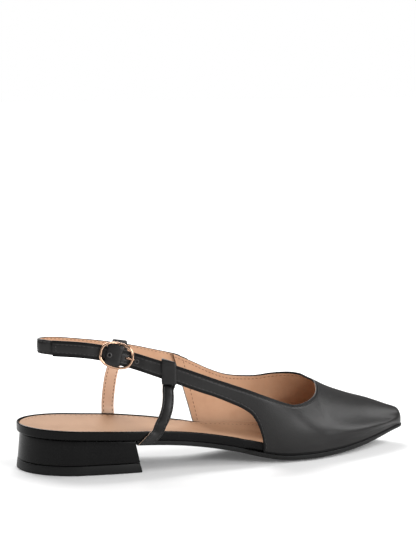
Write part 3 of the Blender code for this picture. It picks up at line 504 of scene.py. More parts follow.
# painted shade: about half as bright as the upper's leather, for the folded edges of the upper and the floors
# of the strap holes
paintedShadeBlack = {
    "colour": (0.0035, 0.0034, 0.0035), "roughness": 0.45, "specular": 0.16,
    "grain": 1500, "grainDepth": 0.00003, "swell": 55, "swellDepth": 0.00010, "lightSpots": 1.2,
}
# painted highlight: light grey on the pressed rims of the strap holes
holeRimHighlight = {
    "colour": (0.050, 0.048, 0.048), "roughness": 0.40, "specular": 0.40,
    "grain": 1500, "grainDepth": 0.00002, "swell": 55, "swellDepth": 0.00005, "lightSpots": 1.2,
}
# painted highlight: a lighter copy of the tan lining for the lit lip at the lining's top edge
lipHighlightLeather = {
    "colour": (0.700, 0.440, 0.300), "shade": (0.560, 0.330, 0.210), "roughness": 0.55, "specular": 0.30,
    "wrinkles": 60, "wrinkleDepth": 0.00010, "pores": 2400, "poreDepth": 0.00003,
}
# painted light: a much lighter copy of the tan lining for the stays' lining, standing in for light falling on
# it
stayLitLeather = {
    "colour": (0.820, 0.580, 0.430), "shade": (0.700, 0.450, 0.310), "roughness": 0.50, "specular": 0.35,
    "wrinkles": 120, "wrinkleDepth": 0.00030, "pores": 2400, "poreDepth": 0.00003,
}
rimLeather = {
    "colour": (0.0034, 0.0033, 0.0034), "roughness": 0.25, "specular": 0.11,
    "grain": 1100, "grainDepth": 0.00002, "swell": 45, "swellDepth": 0.00010, "lightSpots": 1.2,
}
soleRubber = {
    "colour": (0.0070, 0.0070, 0.0070), "roughness": 0.46, "specular": 0.22,
    "grain": 2600, "grainDepth": 0.00003, "swell": 30, "swellDepth": 0.00008, "lightSpots": 1.3,
}
roseMetal = {"colour": (0.60, 0.38, 0.26), "roughness": 0.13, "scratches": 900, "depth": 0.000002}
# the black thread is coloured grey, lighter than the leather: its black is real, the grey lift is painted
# sheen
thread = {
    "black": (0.034, 0.032, 0.031), "tan": (0.24, 0.105, 0.055), "sock": (0.20, 0.095, 0.050),
    "roughness": 0.62, "twist": 900, "dark": 0.75, "depth": 0.00005,
}
relief = {
    "patches": 190, "smoother": 0.04, "rougher": 0.06, "tone": 38, "distortion": 0.6, "metalDark": 0.93,
    "cloudSpots": (0.30, 0.72), "toneSpots": (0.12, 0.52),  # where each colour of a ramp is whole
}


def setInputs(node, values):
    for socket, value in values.items():
        node.inputs[socket].default_value = value


def startLook(name, roughness, specular=0.5, metallic=0.0):
    look = bpy.data.materials.new(name)
    look.use_nodes = True
    nodes, links = look.node_tree.nodes, look.node_tree.links
    shader = nodes["Principled BSDF"]
    setInputs(shader, {"Roughness": roughness, "Specular IOR Level": specular, "Metallic": metallic})
    place = nodes.new("ShaderNodeTexCoord")
    return look, nodes, links, shader, place


def noiseNode(nodes, links, place, scale, detail=3.0, rough=0.55):
    node = nodes.new("ShaderNodeTexNoise")
    setInputs(node, {"Scale": scale, "Detail": detail, "Roughness": rough})
    links.new(place.outputs["Object"], node.inputs["Vector"])
    return node


def mixColours(nodes, links, factor, first, second, spots=relief["cloudSpots"]):
    ramp = nodes.new("ShaderNodeValToRGB")
    for element, spot, colour in zip(ramp.color_ramp.elements, spots, (first, second)):
        element.position = spot
        element.color = (*colour, 1.0)
    links.new(factor, ramp.inputs["Fac"])
    return ramp


def bumpChain(nodes, links, shader, heights):
    before = None
    for height, depth in heights:
        bump = nodes.new("ShaderNodeBump")
        bump.inputs["Distance"].default_value = depth
        links.new(height, bump.inputs["Height"])
        if before:
            links.new(before.outputs["Normal"], bump.inputs["Normal"])
        before = bump
    links.new(before.outputs["Normal"], shader.inputs["Normal"])


def blackLook(name, values):
    look, nodes, links, shader, place = startLook(name, values["roughness"], values["specular"])
    cloudy = noiseNode(nodes, links, place, values["swell"], 2.0)
    worn = tuple(channel * values["lightSpots"] for channel in values["colour"])
    colour = mixColours(nodes, links, cloudy.outputs["Fac"], values["colour"], worn)
    links.new(colour.outputs["Color"], shader.inputs["Base Color"])
    spread = nodes.new("ShaderNodeMapRange")  # patches a little duller than others
    setInputs(spread, {"To Min": values["roughness"] - relief["smoother"],
                       "To Max": values["roughness"] + relief["rougher"]})
    patches = noiseNode(nodes, links, place, relief["patches"], 4.0)
    links.new(patches.outputs["Fac"], spread.inputs["Value"])
    links.new(spread.outputs["Result"], shader.inputs["Roughness"])
    grain = nodes.new("ShaderNodeTexVoronoi")
    grain.inputs["Scale"].default_value = values["grain"]
    links.new(place.outputs["Object"], grain.inputs["Vector"])
    bumpChain(nodes, links, shader, [(cloudy.outputs["Fac"], values["swellDepth"]),
                                     (grain.outputs["Distance"], values["grainDepth"])])
    return look


def tanLook(name, values, stretch):
    look, nodes, links, shader, place = startLook(name, values["roughness"], values["specular"])
    long = nodes.new("ShaderNodeMapping")  # wrinkles run across the foot
    long.inputs["Scale"].default_value = stretch
    links.new(place.outputs["Object"], long.inputs["Vector"])
    wrinkles = nodes.new("ShaderNodeTexNoise")
    setInputs(wrinkles, {"Scale": values["wrinkles"], "Detail": 3.0, "Distortion": relief["distortion"]})
    links.new(long.outputs["Vector"], wrinkles.inputs["Vector"])
    tone = noiseNode(nodes, links, place, relief["tone"], 4.0, 0.6)
    colour = mixColours(nodes, links, tone.outputs["Fac"], values["shade"], values["colour"],
                        relief["toneSpots"])
    links.new(colour.outputs["Color"], shader.inputs["Base Color"])
    pores = nodes.new("ShaderNodeTexVoronoi")
    pores.inputs["Scale"].default_value = values["pores"]
    links.new(place.outputs["Object"], pores.inputs["Vector"])
    bumpChain(nodes, links, shader, [(wrinkles.outputs["Fac"], values["wrinkleDepth"]),
                                     (pores.outputs["Distance"], values["poreDepth"])])
    return look


def metalLook(name, values):
    look, nodes, links, shader, place = startLook(name, values["roughness"], metallic=1.0)
    scratches = noiseNode(nodes, links, place, values["scratches"], 2.0)
    dark = tuple(channel * relief["metalDark"] for channel in values["colour"])
    colour = mixColours(nodes, links, scratches.outputs["Fac"], dark, values["colour"])
    links.new(colour.outputs["Color"], shader.inputs["Base Color"])
    bumpChain(nodes, links, shader, [(scratches.outputs["Fac"], values["depth"])])
    return look


def threadLook(name, colour):
    look, nodes, links, shader, place = startLook(name, thread["roughness"])
    twist = nodes.new("ShaderNodeTexWave")
    twist.inputs["Scale"].default_value = thread["twist"]
    links.new(place.outputs["Object"], twist.inputs["Vector"])
    dark = tuple(channel * thread["dark"] for channel in colour)
    tone = mixColours(nodes, links, twist.outputs["Fac"], dark, colour)
    links.new(tone.outputs["Color"], shader.inputs["Base Color"])
    bumpChain(nodes, links, shader, [(twist.outputs["Fac"], thread["depth"])])
    return look


upperLook = blackLook("smooth_black_leather", blackLeather)
liningLook = tanLook("tan_lining", tanLeather, (0.6, 1.6, 1.6))
sockLook = tanLook("tan_sock", sockLeather, (1.8, 0.5, 1.0))
heelLook = blackLook("heel_cover", heelCover)
rimLook = blackLook("footbed_leather", rimLeather)
# painted shade look for the folded edges and the hole floors
paintedShadeLook = blackLook("painted_shade_black", paintedShadeBlack)
holeRimHighlightLook = blackLook("hole_rim_painted_highlight", holeRimHighlight)
lipHighlightLook = tanLook("lining_lip_painted_highlight", lipHighlightLeather, (1.0, 1.0, 1.0))
stayLitLook = tanLook("stay_lining_painted_light", stayLitLeather, (1.0, 1.0, 1.0))
rubberLook = blackLook("sole_rubber", soleRubber)
goldLook = metalLook("rose_gold", roseMetal)
blackThreadSheen = threadLook("black_thread_painted_sheen", thread["black"])
tanThread = threadLook("tan_thread", thread["tan"])
sockThread = threadLook("sock_thread", thread["sock"])
print("looks made")


# Makers

def linked(name, data):
    thing = bpy.data.objects.new(name, data)
    bpy.context.scene.collection.objects.link(thing)
    return thing


def addPiece(name, points, faces, looks, nodes=(), marks=None, sharp=42.0):
    mesh = bpy.data.meshes.new(name)
    shifted = np.asarray([tuple(point) for point in points]) + np.array(shoeOrigin)
    mesh.from_pydata(shifted.tolist(), [], [list(face) for face in faces])
    if marks is not None:
        mesh.polygons.foreach_set("material_index", marks)
    for look in looks:
        mesh.materials.append(look)
    mesh.validate()
    mesh.shade_smooth()
    mesh.set_sharp_from_angle(angle=math.radians(sharp))
    piece = linked(name, mesh)
    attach(piece, "root")
    if nodes:
        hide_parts(*nodes)


def tubeFaces(rings, sides, start=0, closed=False):
    # quads between rings of points that follow one another
    faces = []
    for ring in range(rings if closed else rings - 1):
        low, high = start + ring * sides, start + (ring + 1) % rings * sides
        for step in range(sides):
            after = (step + 1) % sides
            faces.append((low + step, low + after, high + after, high + step))
    return faces


def tubeEnds(rings, sides):
    return [tuple(range(sides)), tuple((rings - 1) * sides + step for step in reversed(range(sides)))]


def stationList(start, end, heelSteps=26, bodySteps=150, toeSteps=12):
    # stations along the sole, closer together where its ends are round
    heelRound, toeRound = sole["heelRound"], sole["toeRound"]
    values = [heelRound * (1.0 - math.cos(math.pi / 2 * k / heelSteps)) for k in range(heelSteps)]
    body = 1.0 - heelRound - toeRound
    values += [heelRound + body * k / bodySteps for k in range(bodySteps)]
    values += [1.0 - toeRound * (1.0 - math.sin(math.pi / 2 * k / toeSteps)) for k in range(toeSteps + 1)]
    margin = 0.3 * body / bodySteps
    low = start + (margin if start > 0 else 1e-9)
    high = end - (margin if end < 1 else 1e-9)
    return [start] + [value for value in values if low < value < high] + [end]


def plateGrid(stations, inset, height, backX=None, frontX=None, across=28):
    grid = np.zeros((len(stations), across + 1, 3))
    for row, along in enumerate(stations):
        outer = edgePoint(along, outerSide, inset(along, outerSide))
        inner = edgePoint(along, innerSide, inset(along, innerSide))
        if row == 0 and backX is not None:
            outer.x = inner.x = backX
        if row == len(stations) - 1 and frontX is not None:
            outer.x = inner.x = frontX
        for step in range(across + 1):
            flat = outer.lerp(inner, 0.5 - 0.5 * math.cos(math.pi * step / across))
            grid[row, step] = (flat.x, flat.y, height(flat.x, flat.y))
    return grid


def plate(name, look, nodes, grids):
    # grids run from the top down; between them only their rims are joined
    rows, columns = grids[0].shape[:2]
    rim = [(0, c) for c in range(columns - 1)] + [(r, columns - 1) for r in range(rows - 1)]
    rim += [(rows - 1, c) for c in range(columns - 1, 0, -1)] + [(r, 0) for r in range(rows - 1, 0, -1)]
    points = [grids[0].reshape(-1, 3), grids[-1].reshape(-1, 3)]
    rings = [[r * columns + c for r, c in rim]]
    total = 2 * rows * columns
    for grid in grids[1:-1]:
        points.append(np.array([grid[r, c] for r, c in rim]))
        rings.append(list(range(total, total + len(rim))))
        total += len(rim)
    rings.append([rows * columns + r * columns + c for r, c in rim])
    faces = []
    low = rows * columns
    for r in range(rows - 1):
        for c in range(columns - 1):
            a = r * columns + c
            faces.append((a, a + columns, a + columns + 1, a + 1))
            faces.append((low + a, low + a + 1, low + a + columns + 1, low + a + columns))
    for upperRing, lowerRing in zip(rings, rings[1:]):
        count = len(rim)
        for k in range(count):
            n = (k + 1) % count
            faces.append((upperRing[k], upperRing[n], lowerRing[n], lowerRing[k]))
    addPiece(name, np.concatenate(points), faces, [look], nodes)


def evenPath(points, normals, spacing):
    # the same line with its points at even distances
    points, normals = np.asarray(points), np.asarray(normals)
    steps = np.linalg.norm(np.diff(points, axis=0), axis=1)
    along = np.concatenate(([0.0], np.cumsum(steps)))
    count = max(int(along[-1] / spacing), 2)
    at = np.linspace(0.5 * spacing, along[-1] - 0.5 * spacing, count)
    place = np.stack([np.interp(at, along, points[:, k]) for k in range(3)], 1)
    after = np.stack([np.interp(at + 1e-5, along, points[:, k]) for k in range(3)], 1)
    up = np.stack([np.interp(at, along, normals[:, k]) for k in range(3)], 1)
    run = after - place
    run /= np.maximum(np.linalg.norm(run, axis=1, keepdims=True), 1e-12)
    up -= run * np.sum(up * run, 1, keepdims=True)
    up /= np.maximum(np.linalg.norm(up, axis=1, keepdims=True), 1e-12)
    return place, run, up


stitch = {
    "pitch": 0.0027, "length": 0.0020, "radius": 0.00026, "sink": 0.00008, "sides": 6,
    "bead": ((-1.0, 0.02), (-0.8, 0.6), (-0.35, 1.0), (0.35, 1.0), (0.8, 0.6), (1.0, 0.02)),  # along, wide
}


def stitches(name, look, lines, pitch=stitch["pitch"], size=1.0):
    # one small bead of thread for each stitch, half sunk in the leather
    points, faces, sides = [], [], stitch["sides"]
    for linePoints, lineNormals in lines:
        for place, run, up in zip(*evenPath(linePoints, lineNormals, pitch)):
            side = np.cross(run, up)
            faces += tubeFaces(len(stitch["bead"]), sides, len(points))
            for share, width in stitch["bead"]:
                centre = place + run * share * 0.5 * stitch["length"] * size - up * stitch["sink"]
                for step in range(sides):
                    turn = 2 * math.pi * step / sides
                    points.append(centre + (side * math.cos(turn) + up * math.sin(turn))
                                  * stitch["radius"] * size * width)
    addPiece(name, points, faces, [look], sharp=80.0)


# Outsole, footbed, sock and heel

def archLevels(inset, top, bottom, topRound, lowRound, steps=5):
    # insets and heights of an edge that is rounded above and below
    levels = []
    for k in range(steps + 1):
        turn = math.pi / 2 * k / steps
        levels.append((inset + topRound * (1.0 - math.sin(turn)), top, -topRound * (1.0 - math.cos(turn))))
    for k in range(steps + 1):
        turn = math.pi / 2 * k / steps
        levels.append((inset + lowRound * (1.0 - math.cos(turn)), bottom, lowRound * (1.0 - math.sin(turn))))
    return levels


def levelGrids(stations, insetOf, levels, backX=None, frontX=None):
    grids = []
    for extra, height, lift in levels:
        back = None if backX is None else backX + extra * sole["breastRound"]
        front = None if frontX is None else frontX - extra
        grids.append(plateGrid(stations, lambda a, s: insetOf(a, s) + extra,
                               lambda x, y: height(x, y) + lift, back, front))
    return grids


def makeOutsole():
    slope = heel["slant"] * sole["thickness"] / (sole["heelRise"] - heel["topPiece"])
    back = heel["length"] + gap + slope * sole["breast"]
    stations = stationList(back / sole["length"], 1.0)
    levels = archLevels(0.0, soleTop, soleBottom, sole["topRound"], sole["lowRound"])
    plate("outsole_rubber", rubberLook, ["outsole"],
          levelGrids(stations, outsoleInset, levels, backX=back))


def makeFootbed():
    stations = stationList(0.0, footbed["end"])
    rim = footbed["rim"]
    levels = [(rim + footbed["lipIn"], sockFloor, 0.0),
              (rim + footbed["lipLow"], rimTop, -footbed["lipDrop"])]
    levels += archLevels(0.0, rimTop, footbedBottom, footbed["topRound"], footbed["lowRound"], steps=6)
    plate("footbed_cover", rimLook, ["footbed"],
          levelGrids(stations, footbedInset, levels, frontX=footbed["end"] * sole["length"]))


sock = {
    "seat": 0.0005, "topRound": 0.0007, "lowRound": 0.0001, "curl": 0.0058, "curlFrom": (0.40, 0.60),
    "curlTo": (0.80, 0.92), "curlIn": 0.50, "stitchIn": 0.0026, "stitchFrom": 0.012, "stitchTo": 0.90,
    "stitchSteps": 199, "pitch": 0.0034, "threadSize": 0.9,
}


def makeSock():
    stations = stationList(0.0, footbed["end"])
    seat = footbed["rim"] + sock["seat"]

    def curled(x, y):
        # the sock stands up a little against the inner wall under the vamp
        along = x / sole["length"]
        rise = ease(*sock["curlFrom"], along) * (1.0 - ease(*sock["curlTo"], along))
        rise *= ease(sock["curlIn"], 1.0, acrossShare(x, y))
        return sockFloor(x, y) + gap + sock["curl"] * rise

    def top(x, y):
        return curled(x, y) + footbed["sock"]

    levels = archLevels(seat, top, curled, sock["topRound"], sock["lowRound"], steps=4)
    grids = levelGrids(stations, footbedInset, levels, frontX=footbed["end"] * sole["length"] - seat)
    plate("sock_leather", sockLook, ["sock"], grids)
    lines = []
    for side in (outerSide, innerSide):
        spots = []
        for step in range(sock["stitchSteps"] + 1):
            share = step / sock["stitchSteps"]
            along = sock["stitchFrom"] + (sock["stitchTo"] - sock["stitchFrom"]) * share
            spot = edgePoint(along, side, footbedInset(along, side) + seat + sock["stitchIn"])
            spots.append((spot.x, spot.y, top(spot.x, spot.y)))
        lines.append((np.array(spots), np.tile((0.0, 0.0, 1.0), (len(spots), 1))))
    stitches("sock_stitches", sockThread, lines, sock["pitch"], sock["threadSize"])


def makeHeel():
    stations = stationList(0.0, heel["length"] / sole["length"])
    seam = 1.0 - heel["topPiece"] / sole["heelRise"]

    def grid(extra, height, drop):
        inset = heel["setIn"] - heel["flare"] * drop + extra
        front = heel["length"] + heel["slant"] * drop - extra
        return plateGrid(stations, lambda a, s: inset, height, frontX=front)

    rows = []
    for k in range(heel["lipRows"] + 1):
        turn = math.pi / 2 * k / heel["lipRows"]
        low = heel["lip"] * (1 - math.cos(turn))
        rows.append(grid(heel["lip"] * (1 - math.sin(turn)), lambda x, y: soleTop(x, y) - low, 0.0))
    foot = heel["topPiece"] + heel["seamIn"]
    for k in range(1, heel["sideRows"] + 1):
        share = k / heel["sideRows"]
        rows.append(grid(0.0, lambda x, y: soleTop(x, y) * (1 - share) + foot * share, seam * share))
    rows.append(grid(heel["seamIn"], lambda x, y: heel["topPiece"] + heel["seamGap"], seam))
    plate("heel_cover_block", heelLook, ["heel_block"], rows)
    rim = [(inset, heel["topPiece"] - under, seam) for inset, under in heel["seamRim"]]
    rows = [grid(inset, lambda x, y: high, drop) for inset, high, drop in rim + list(heel["floorRim"])]
    plate("heel_top_piece", rubberLook, ["top_piece"], rows)


makeOutsole()
makeFootbed()
makeSock()
makeHeel()
print("bottom made")


# The upper

edge = {
    "stitchAt": 0.0021, "grooveDepth": 0.00016, "grooveWide": 0.00030, "rimOut": 0.00045,
    "puff": 0.00022, "puffReach": 0.004, "puffRise": 0.7, "puffShare": 0.6,
    "columnsStrap": 22, "columnsWing": 9, "columnsVamp": 7, "middleRows": 26,
    "steps": (0.0, 0.00025, 0.0006, 0.0010, 0.0014, 0.0017, 0.0019, 0.0021, 0.0023, 0.0025, 0.0029, 0.0034),
    # foldLow, foldTop and foldOver count the rows at the edges that get the painted shade of the folded edge
    "measureSteps": 24, "widest": 0.42, "rimSteps": 6, "foldLow": 4, "foldTop": 5, "foldOver": 2,
    "thinShare": 0.96, "thinFrom": 0.72, "thinTo": 0.87, "liningEnd": 0.86, "innerFrom": 0.006,
}


def upperLines():
    wing = [patternLine(*row, outerSide) for row in wingRows]
    vamp = [patternLine(*row, None, outerSide) for row in outerVampRows] + list(noseRows)
    vamp += [patternLine(*row, None, innerSide) for row in innerVampRows]
    strapPart = [row for row in wing if row[0] < upper["wavyEnd"]]
    rest = wing[len(strapPart) - 1:]
    lines = throughPoints(strapPart, edge["columnsStrap"])[:-1]
    lines += throughPoints(rest, edge["columnsWing"])[:-1]
    wingCount = len(lines)
    lines += throughPoints(vamp, edge["columnsVamp"])
    return lines, wingCount


def sheetGrid(lines):
    # outer face of the upper: rows crowd near both edges for the folded rim and the stitch groove
    many, steps = edge["middleRows"], edge["measureSteps"]
    grid = np.zeros((len(lines), 2 * len(edge["steps"]) + many, 3))
    for column, (topAlong, topGirth, lowAlong, lowGirth) in enumerate(lines):
        def point(share):
            return lastPoint(min(lowAlong + (topAlong - lowAlong) * share, 1.0),
                             clamp(lowGirth + (topGirth - lowGirth) * share, -1.0, 1.0))
        coarse = [point(k / steps) for k in range(steps + 1)]
        parts = [(b - a).length for a, b in zip(coarse, coarse[1:])]
        lengths = np.concatenate(([0.0], np.cumsum(parts)))
        whole = lengths[-1]
        shrink = min(1.0, whole * edge["widest"] / edge["steps"][-1])
        low = [step * shrink for step in edge["steps"]]
        high = [whole - step for step in reversed(low)]
        between = [low[-1] + (high[0] - low[-1]) * (k + 1) / (many + 1) for k in range(many)]
        for row, distance in enumerate(low + between + high):
            grid[column, row] = point(float(np.interp(distance, lengths, np.linspace(0, 1, steps + 1))))
    return grid


def gridNormals(grid):
    along = np.gradient(grid, axis=0)
    up = np.gradient(grid, axis=1)
    normal = np.cross(up, along)
    size = np.linalg.norm(normal, axis=2, keepdims=True)
    centre = grid.mean(axis=(0, 1))
    flat = grid - centre
    flat /= np.maximum(np.linalg.norm(flat, axis=2, keepdims=True), 1e-9)
    normal = np.where(size > 1e-13, normal / np.maximum(size, 1e-13), flat)
    return normal if np.sum(normal * flat) > 0 else -normal


def edgeWay(last, before):
    way = last - before
    return way / np.maximum(np.linalg.norm(way, axis=1, keepdims=True), 1e-9)


def foldedRim(outerEdge, innerEdge, way):
    centre = 0.5 * (outerEdge + innerEdge)
    result = []
    for turn in [math.pi * k / edge["rimSteps"] for k in range(1, edge["rimSteps"])]:
        result.append(centre + (outerEdge - centre) * math.cos(turn) + way * edge["rimOut"] * math.sin(turn))
    return result


def upperMark(r, rows, spot):
    # look of one face of the ring: 0 leather, 1 lining, 2 folded edge darkened as painted shade, 3 lip of the
    # lining lightened as painted highlight
    liningStart = rows + edge["rimSteps"] - 1
    folded = r < edge["foldLow"] or rows - edge["foldTop"] <= r < rows + edge["foldOver"]
    if folded or r >= liningStart + rows:
        return 2
    if r < rows:
        return 0
    # the top rim on the inner side also gets the painted shade
    if r < liningStart and spot[1] > edge["innerFrom"]:
        return 2
    if spot[0] > edge["liningEnd"] * sole["length"]:
        return 0
    return 3 if r <= liningStart else 1


def makeUpper():
    lines, wingCount = upperLines()
    grid = sheetGrid(lines)
    normal = gridNormals(grid)
    columns, rows = grid.shape[:2]
    fromLow = np.zeros((columns, rows))
    fromLow[:, 1:] = np.cumsum(np.linalg.norm(np.diff(grid, axis=1), axis=2), axis=1)
    fromTop = fromLow[:, -1:] - fromLow
    near = np.clip(np.minimum(fromLow, fromTop) / edge["puffReach"], 0, 1)
    outward = edge["puff"] * near ** edge["puffRise"] * edge["puffShare"]

    def grooveFrom(distance):
        return edge["grooveDepth"] * np.exp(-((distance - edge["stitchAt"]) / edge["grooveWide"]) ** 2)

    free = (np.arange(columns) < wingCount + 1)[:, None]  # the wing's lower edge lies free of the sole
    face = grid + normal * (outward - grooveFrom(fromTop) - free * grooveFrom(fromLow))[:, :, None]
    thin = np.array([[1.0 - edge["thinShare"] * ease(edge["thinFrom"], edge["thinTo"], x / sole["length"])
                      for x in column] for column in grid[:, :, 0]])
    lining = grid - normal * (upper["wall"] * thin)[:, :, None]
    ring = [face[:, r] for r in range(rows)]
    ring += foldedRim(face[:, -1], lining[:, -1], edgeWay(grid[:, -1], grid[:, -3]))
    ring += [lining[:, r] for r in range(rows - 1, -1, -1)]
    ring += foldedRim(lining[:, 0], face[:, 0], edgeWay(grid[:, 0], grid[:, 2]))
    ring = np.stack(ring, 1)
    count = ring.shape[1]
    faces, marks = [], []
    for c in range(columns - 1):
        for r in range(count):
            n = (r + 1) % count
            faces.append((c * count + r, (c + 1) * count + r, (c + 1) * count + n, c * count + n))
            marks.append(upperMark(r, rows, ring[c, r]))
    for c, turned in ((0, False), (columns - 1, True)):  # the strap's tip and the sling's root
        for r in range(rows - 1):
            other = 2 * rows + edge["rimSteps"] - 2 - r
            quad = (c * count + r, c * count + r + 1, c * count + other - 1, c * count + other)
            faces.append(tuple(reversed(quad)) if turned else quad)
            marks.append(0)
    addPiece("upper_leather", ring.reshape(-1, 3), faces, [upperLook, liningLook, paintedShadeLook, lipHighlightLook],
             ["upper"], marks, 50.0)
    low = edge["steps"].index(edge["stitchAt"])
    top, toRoot = rows - 1 - low, -edge["columnsVamp"]
    across = int(np.argmin(np.abs(grid[:, rows // 2, 0] - grid[0, rows // 2, 0] - edge["stitchAt"])))
    span = slice(low, top + 1)
    upperEdge, lowerEdge = (slice(across, None), top), (slice(across, wingCount), low)
    root = (toRoot, span)
    stitches("upper_stitches", blackThreadSheen,
             [(face[part], normal[part]) for part in (upperEdge, lowerEdge, (across, span), root)])
    stitches("lining_stitches", tanThread,
             [(lining[part], -normal[part]) for part in (upperEdge, lowerEdge, root)])


makeUpper()
print("upper made")


# Sling strap and stays

band = {
    "edgeRound": 0.0005, "dome": 0.00025, "stitchIn": 0.0013, "groove": 0.00012, "grooveWide": 0.0003,
    "grooveRims": (0.00006, 0.00008), "hollow": 0.00005, "sharp": 50.0,
}


def bandSection(width, thick):
    # points of one section from the inner face's edge over the outer face and back: across, out
    half, h, r = 0.5 * width, 0.5 * thick, band["edgeRound"]
    s, g = half - band["stitchIn"], band["grooveWide"]
    outer = [(-half, -0.1 * h), (-half + 0.12 * r, 0.55 * h), (-half + 0.5 * r, 0.88 * h), (-half + r, h),
             (-s - g, h + band["grooveRims"][0]), (-s, h - band["groove"]),
             (-s + g, h + band["grooveRims"][1]),
             (-0.5 * s, h + 0.8 * band["dome"]), (0.0, h + band["dome"])]
    outer += [(-a, b) for a, b in reversed(outer[:-1])]
    inner = [(half - 0.2 * r, -0.7 * h), (half - r, -h), (s, -h), (0.0, -h - band["hollow"])]
    inner += [(-a, b) for a, b in reversed(inner[:-1])]
    return outer + inner, len(outer)


def ribbon(name, path, outward, width, thick, nodes, widths=None, slants=None, linedTo=None, rawEdge=0,
           lining=liningLook):
    # rawEdge: how many faces at each edge show the lining's leather too, -1 for one face fewer
    points, marks, frames = [], [], []
    section, outerCount = bandSection(width, thick)
    count, last = len(section), len(path) - 1
    widths = widths or [1.0] * len(path)
    for index, centre in enumerate(path):
        run = (path[min(index + 1, last)] - path[max(index - 1, 0)]).normalized()
        out = outward[index] - run * outward[index].dot(run)
        out.normalize()
        side = run.cross(out)
        if slants and slants[index]:
            side = slants[index] * (1.0 if side.dot(slants[index]) > 0 else -1.0)
            out = side.cross(run).normalized()
        frames.append((centre, side, out))
        for across, off in section:
            points.append(centre + side * across * widths[index] + out * off)
    for index in range(last):
        for k in range(count):
            lined = (k - outerCount + rawEdge) % count < count - outerCount - 1 + 2 * rawEdge
            marks.append(1 if lined and (linedTo is None or index < linedTo) else 0)
    faces = tubeFaces(len(path), count) + tubeEnds(len(path), count)
    addPiece(name, points, faces, [upperLook, lining], nodes, marks + [0, 0], band["sharp"])
    s = 0.5 * width - band["stitchIn"]
    lines = {}
    for key, sign in (("outer", 1), ("inner", -1)):
        lines[key] = []
        normals = np.array([tuple(out * sign) for centre, side, out in frames])
        for way in (-1, 1):
            spots = [centre + side * way * s * scale + out * sign * 0.5 * thick
                     for (centre, side, out), scale in zip(frames, widths)]
            lines[key].append((np.array([tuple(spot) for spot in spots]), normals))
    return lines


def finer(points, times):
    return [Vector(point) for point in throughPoints([tuple(point) for point in points], times)]


def makeSling():
    path, outward = slingPath()
    lines = ribbon("sling_strap_leather", finer(path, strap["smooth"]), finer(outward, strap["smooth"]),
                   strap["width"], strap["thickness"], ["sling_strap"], rawEdge=-1)
    stitches("sling_stitches", blackThreadSheen, lines["outer"])
    stitches("sling_lining_stitches", tanThread, lines["inner"], size=strap["threadSize"])


stays = (
    # name, side, rows, along, lean, wide, rawEdge
    ("stay_lateral", outerSide, outerStayRows, 0.352, 1.0, 0.0074, 2),
    ("stay_medial", innerSide, innerStayRows, 0.267, 0.15, 0.0086, 1),
)


def strapHold(side, along):
    # where a stay's loop goes round its strap: directions, half thickness and width there
    if side == outerSide:
        width = strap["width"] * tableRow([(line[0], line[3]) for line in wingRows[:-1]], along)[1]
        return (*strapFrame(along, 0.5 * upper["wall"]), 0.5 * upper["wall"], width)
    path, outward = slingPath()
    spot = min(range(3, len(path) // 2), key=lambda k: abs(path[k].x - along * sole["length"]))
    out = outward[spot].normalized()
    run = (path[spot - 1] - path[spot + 1]).normalized()
    up = run.cross(out)
    if up.z < 0:
        up = -up
    return path[spot], run, up, out, 0.5 * strap["thickness"], strap["width"]


